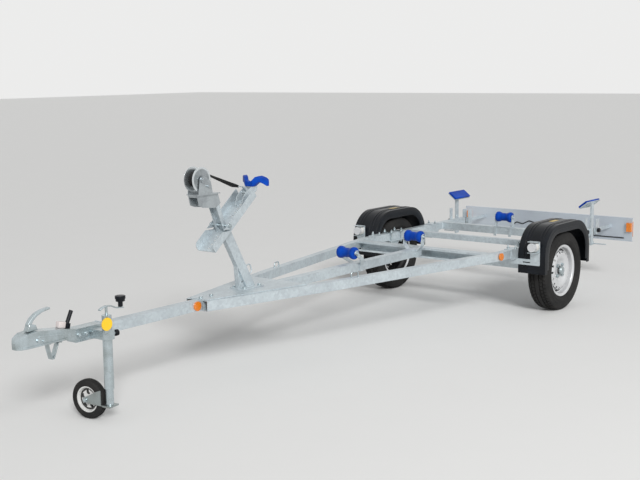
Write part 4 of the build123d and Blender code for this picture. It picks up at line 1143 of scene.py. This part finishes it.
# Light board: smooth drawn aluminium with faint lines along it
def makeBoardFinish():
    finish = Finish("drawnAluminium", Metallic=0.55)
    lines = finish.noise(40.0, 2.0, 0.6, finish.stretched((1.0, 0.04, 6.0)))
    clouds = finish.noise(2.2, 3.0, 0.5)
    blend = (lines * 0.3 + clouds * 0.7).smooth(0.3, 0.7)
    finish.feed("Base Color", finish.mix(blend, tone(0.62, 0.68, 0.74), tone(0.52, 0.57, 0.63)))
    finish.feed("Roughness", 0.36 + 0.12 * lines)
    finish.bump(lines, 0.06, 0.0003)
    return finish.material


# Jockey rim: white faces, with painted shade inside the windows
def makeJockeyRimFinish():
    shadeBand = jockeySizes["windowShadeDeep"]
    turn, place = jockeyPlace()
    x0, y0, z0 = fromAxle(*place)
    finish = Finish("jockeyWheelPaint", Coat_Weight=0.2, Coat_Roughness=0.2)
    deep = (finish.y - y0) * cos(turn) - (finish.x - x0) * sin(turn)
    clouds = finish.noise(14.0, 3.0, 0.6)
    white = finish.mix(clouds.smooth(0.4, 0.8), tone(0.64, 0.64, 0.63), tone(0.54, 0.54, 0.52))
    # painted shade: near black close to the middle plane, inside the windows
    finish.feed("Base Color", finish.mix(deep * deep < shadeBand * shadeBand, white, tone(0.02, 0.02, 0.02)))
    finish.feed("Roughness", 0.4 + 0.1 * clouds)
    finish.bump(clouds, 0.05, 0.0003)
    return finish.material


ownFinishes = {
    "winch_drum": makeDiscFinish(),
    "light_board": makeBoardFinish(),
    "jockey_rim": makeJockeyRimFinish(),
    # the jockey fork gets a darker copy of the zinc: painted shade
    "jockey_fork": makeZinc("paintedShadeZinc", tone(0.34, 0.38, 0.38), tone(0.28, 0.30, 0.29), 0.8, 0.22, 0.36),
}
for node, finish in ownFinishes.items():
    frame["nodes"][node].data.materials[0] = finish
print("own finishes on", len(ownFinishes), "parts")

# Studio: pale floor, soft light from the left front, and the camera solved from the photograph
studio = {
    "floorTone": (0.82, 0.82, 0.81, 1.0),
    "floorGrain": 0.985,
    "floorHalf": 60.0,
    "backTone": (0.84, 0.84, 0.835, 1.0),
    "worldLevel": 0.36,
    "sunLevel": 2.3,
    "sunSoft": 16.0,
    "sunFrom": (0.50, 0.62, 0.44),
    "softboxLevel": 110.0,
    "softboxSize": (6.0, 2.5),
    "softboxAt": (2.5, 5.5, 4.5),
    "softboxTo": (0.0, 0.0, 0.4),
}
view = {
    "place": (7.161 - middleX, 4.259, 1.702),
    "right": (-0.6192, 0.7851, -0.0129),
    "forward": (-0.7751, -0.6137, -0.1502),
    "focalPixels": 1123.32,
    "pixelsWide": 640.0,
    "sensor": 36.0,
    "clip": 200.0,
}


def makeFloor():
    bpy.ops.mesh.primitive_plane_add(size=2 * studio["floorHalf"], location=(0, 0, 0))
    floor = bpy.context.object
    floor.name = "studioFloor"
    finish = Finish("studioPaper", Roughness=0.95)
    level = studio["floorTone"]
    darker = tone(*[studio["floorGrain"] * c for c in level[:3]])
    finish.feed("Base Color", finish.mix(finish.noise(3.0, 2.0, 0.5), darker, level))
    floor.data.materials.append(finish.material)


def makeWorld():
    # dim light all round, while the camera and mirror rays see the pale background
    world = bpy.data.worlds.new("studioWorld")
    bpy.context.scene.world = world
    world.use_nodes = True
    nodes, links = world.node_tree.nodes, world.node_tree.links

    def either(first, second):
        made = nodes.new("ShaderNodeMath")
        made.operation = "ADD"
        made.use_clamp = True
        links.new(first, made.inputs[0])
        links.new(second, made.inputs[1])
        return made.outputs[0]

    around = nodes["Background"]
    around.inputs["Color"].default_value = tone(1.0, 1.0, 1.0)
    around.inputs["Strength"].default_value = studio["worldLevel"]
    seen = nodes.new("ShaderNodeBackground")
    seen.inputs["Color"].default_value = studio["backTone"]
    seen.inputs["Strength"].default_value = 1.0
    rays = nodes.new("ShaderNodeLightPath").outputs
    blend = nodes.new("ShaderNodeMixShader")
    straight = either(either(rays["Is Camera Ray"], rays["Is Glossy Ray"]), rays["Is Transmission Ray"])
    for i, output in enumerate((straight, around.outputs[0], seen.outputs[0])):
        links.new(output, blend.inputs[i])
    links.new(blend.outputs[0], nodes["World Output"].inputs["Surface"])


def addToScene(name, data):
    made = bpy.data.objects.new(name, data)
    bpy.context.scene.collection.objects.link(made)
    return made


def makeLights():
    sun = bpy.data.lights.new("softSun", "SUN")
    sun.energy = studio["sunLevel"]
    sun.angle = radians(studio["sunSoft"])
    addToScene("softSun", sun).rotation_euler = Vector(studio["sunFrom"]).to_track_quat("Z", "Y").to_euler()
    panel = bpy.data.lights.new("softbox", "AREA")
    panel.shape = "RECTANGLE"
    panel.size, panel.size_y = studio["softboxSize"]
    panel.energy = studio["softboxLevel"]
    softbox = addToScene("softbox", panel)
    softbox.location = studio["softboxAt"]
    aim = Vector(studio["softboxTo"]) - softbox.location
    softbox.rotation_euler = aim.to_track_quat("-Z", "Y").to_euler()


def makeCamera():
    camera = bpy.data.cameras.new("photoCamera")
    camera.lens = view["focalPixels"] * view["sensor"] / view["pixelsWide"]
    camera.sensor_width = view["sensor"]
    camera.clip_end = view["clip"]
    right = Vector(view["right"]).normalized()
    forward = Vector(view["forward"]).normalized()
    up = right.cross(forward).normalized()
    right = forward.cross(up).normalized()
    turn = Matrix((right, up, -forward)).transposed().to_4x4()
    stand = addToScene("photoCamera", camera)
    stand.matrix_world = Matrix.Translation(view["place"]) @ turn
    bpy.context.scene.camera = stand


makeFloor()
makeWorld()
makeLights()
makeCamera()
bpy.context.scene.view_settings.view_transform = "Standard"
print("studio ready")
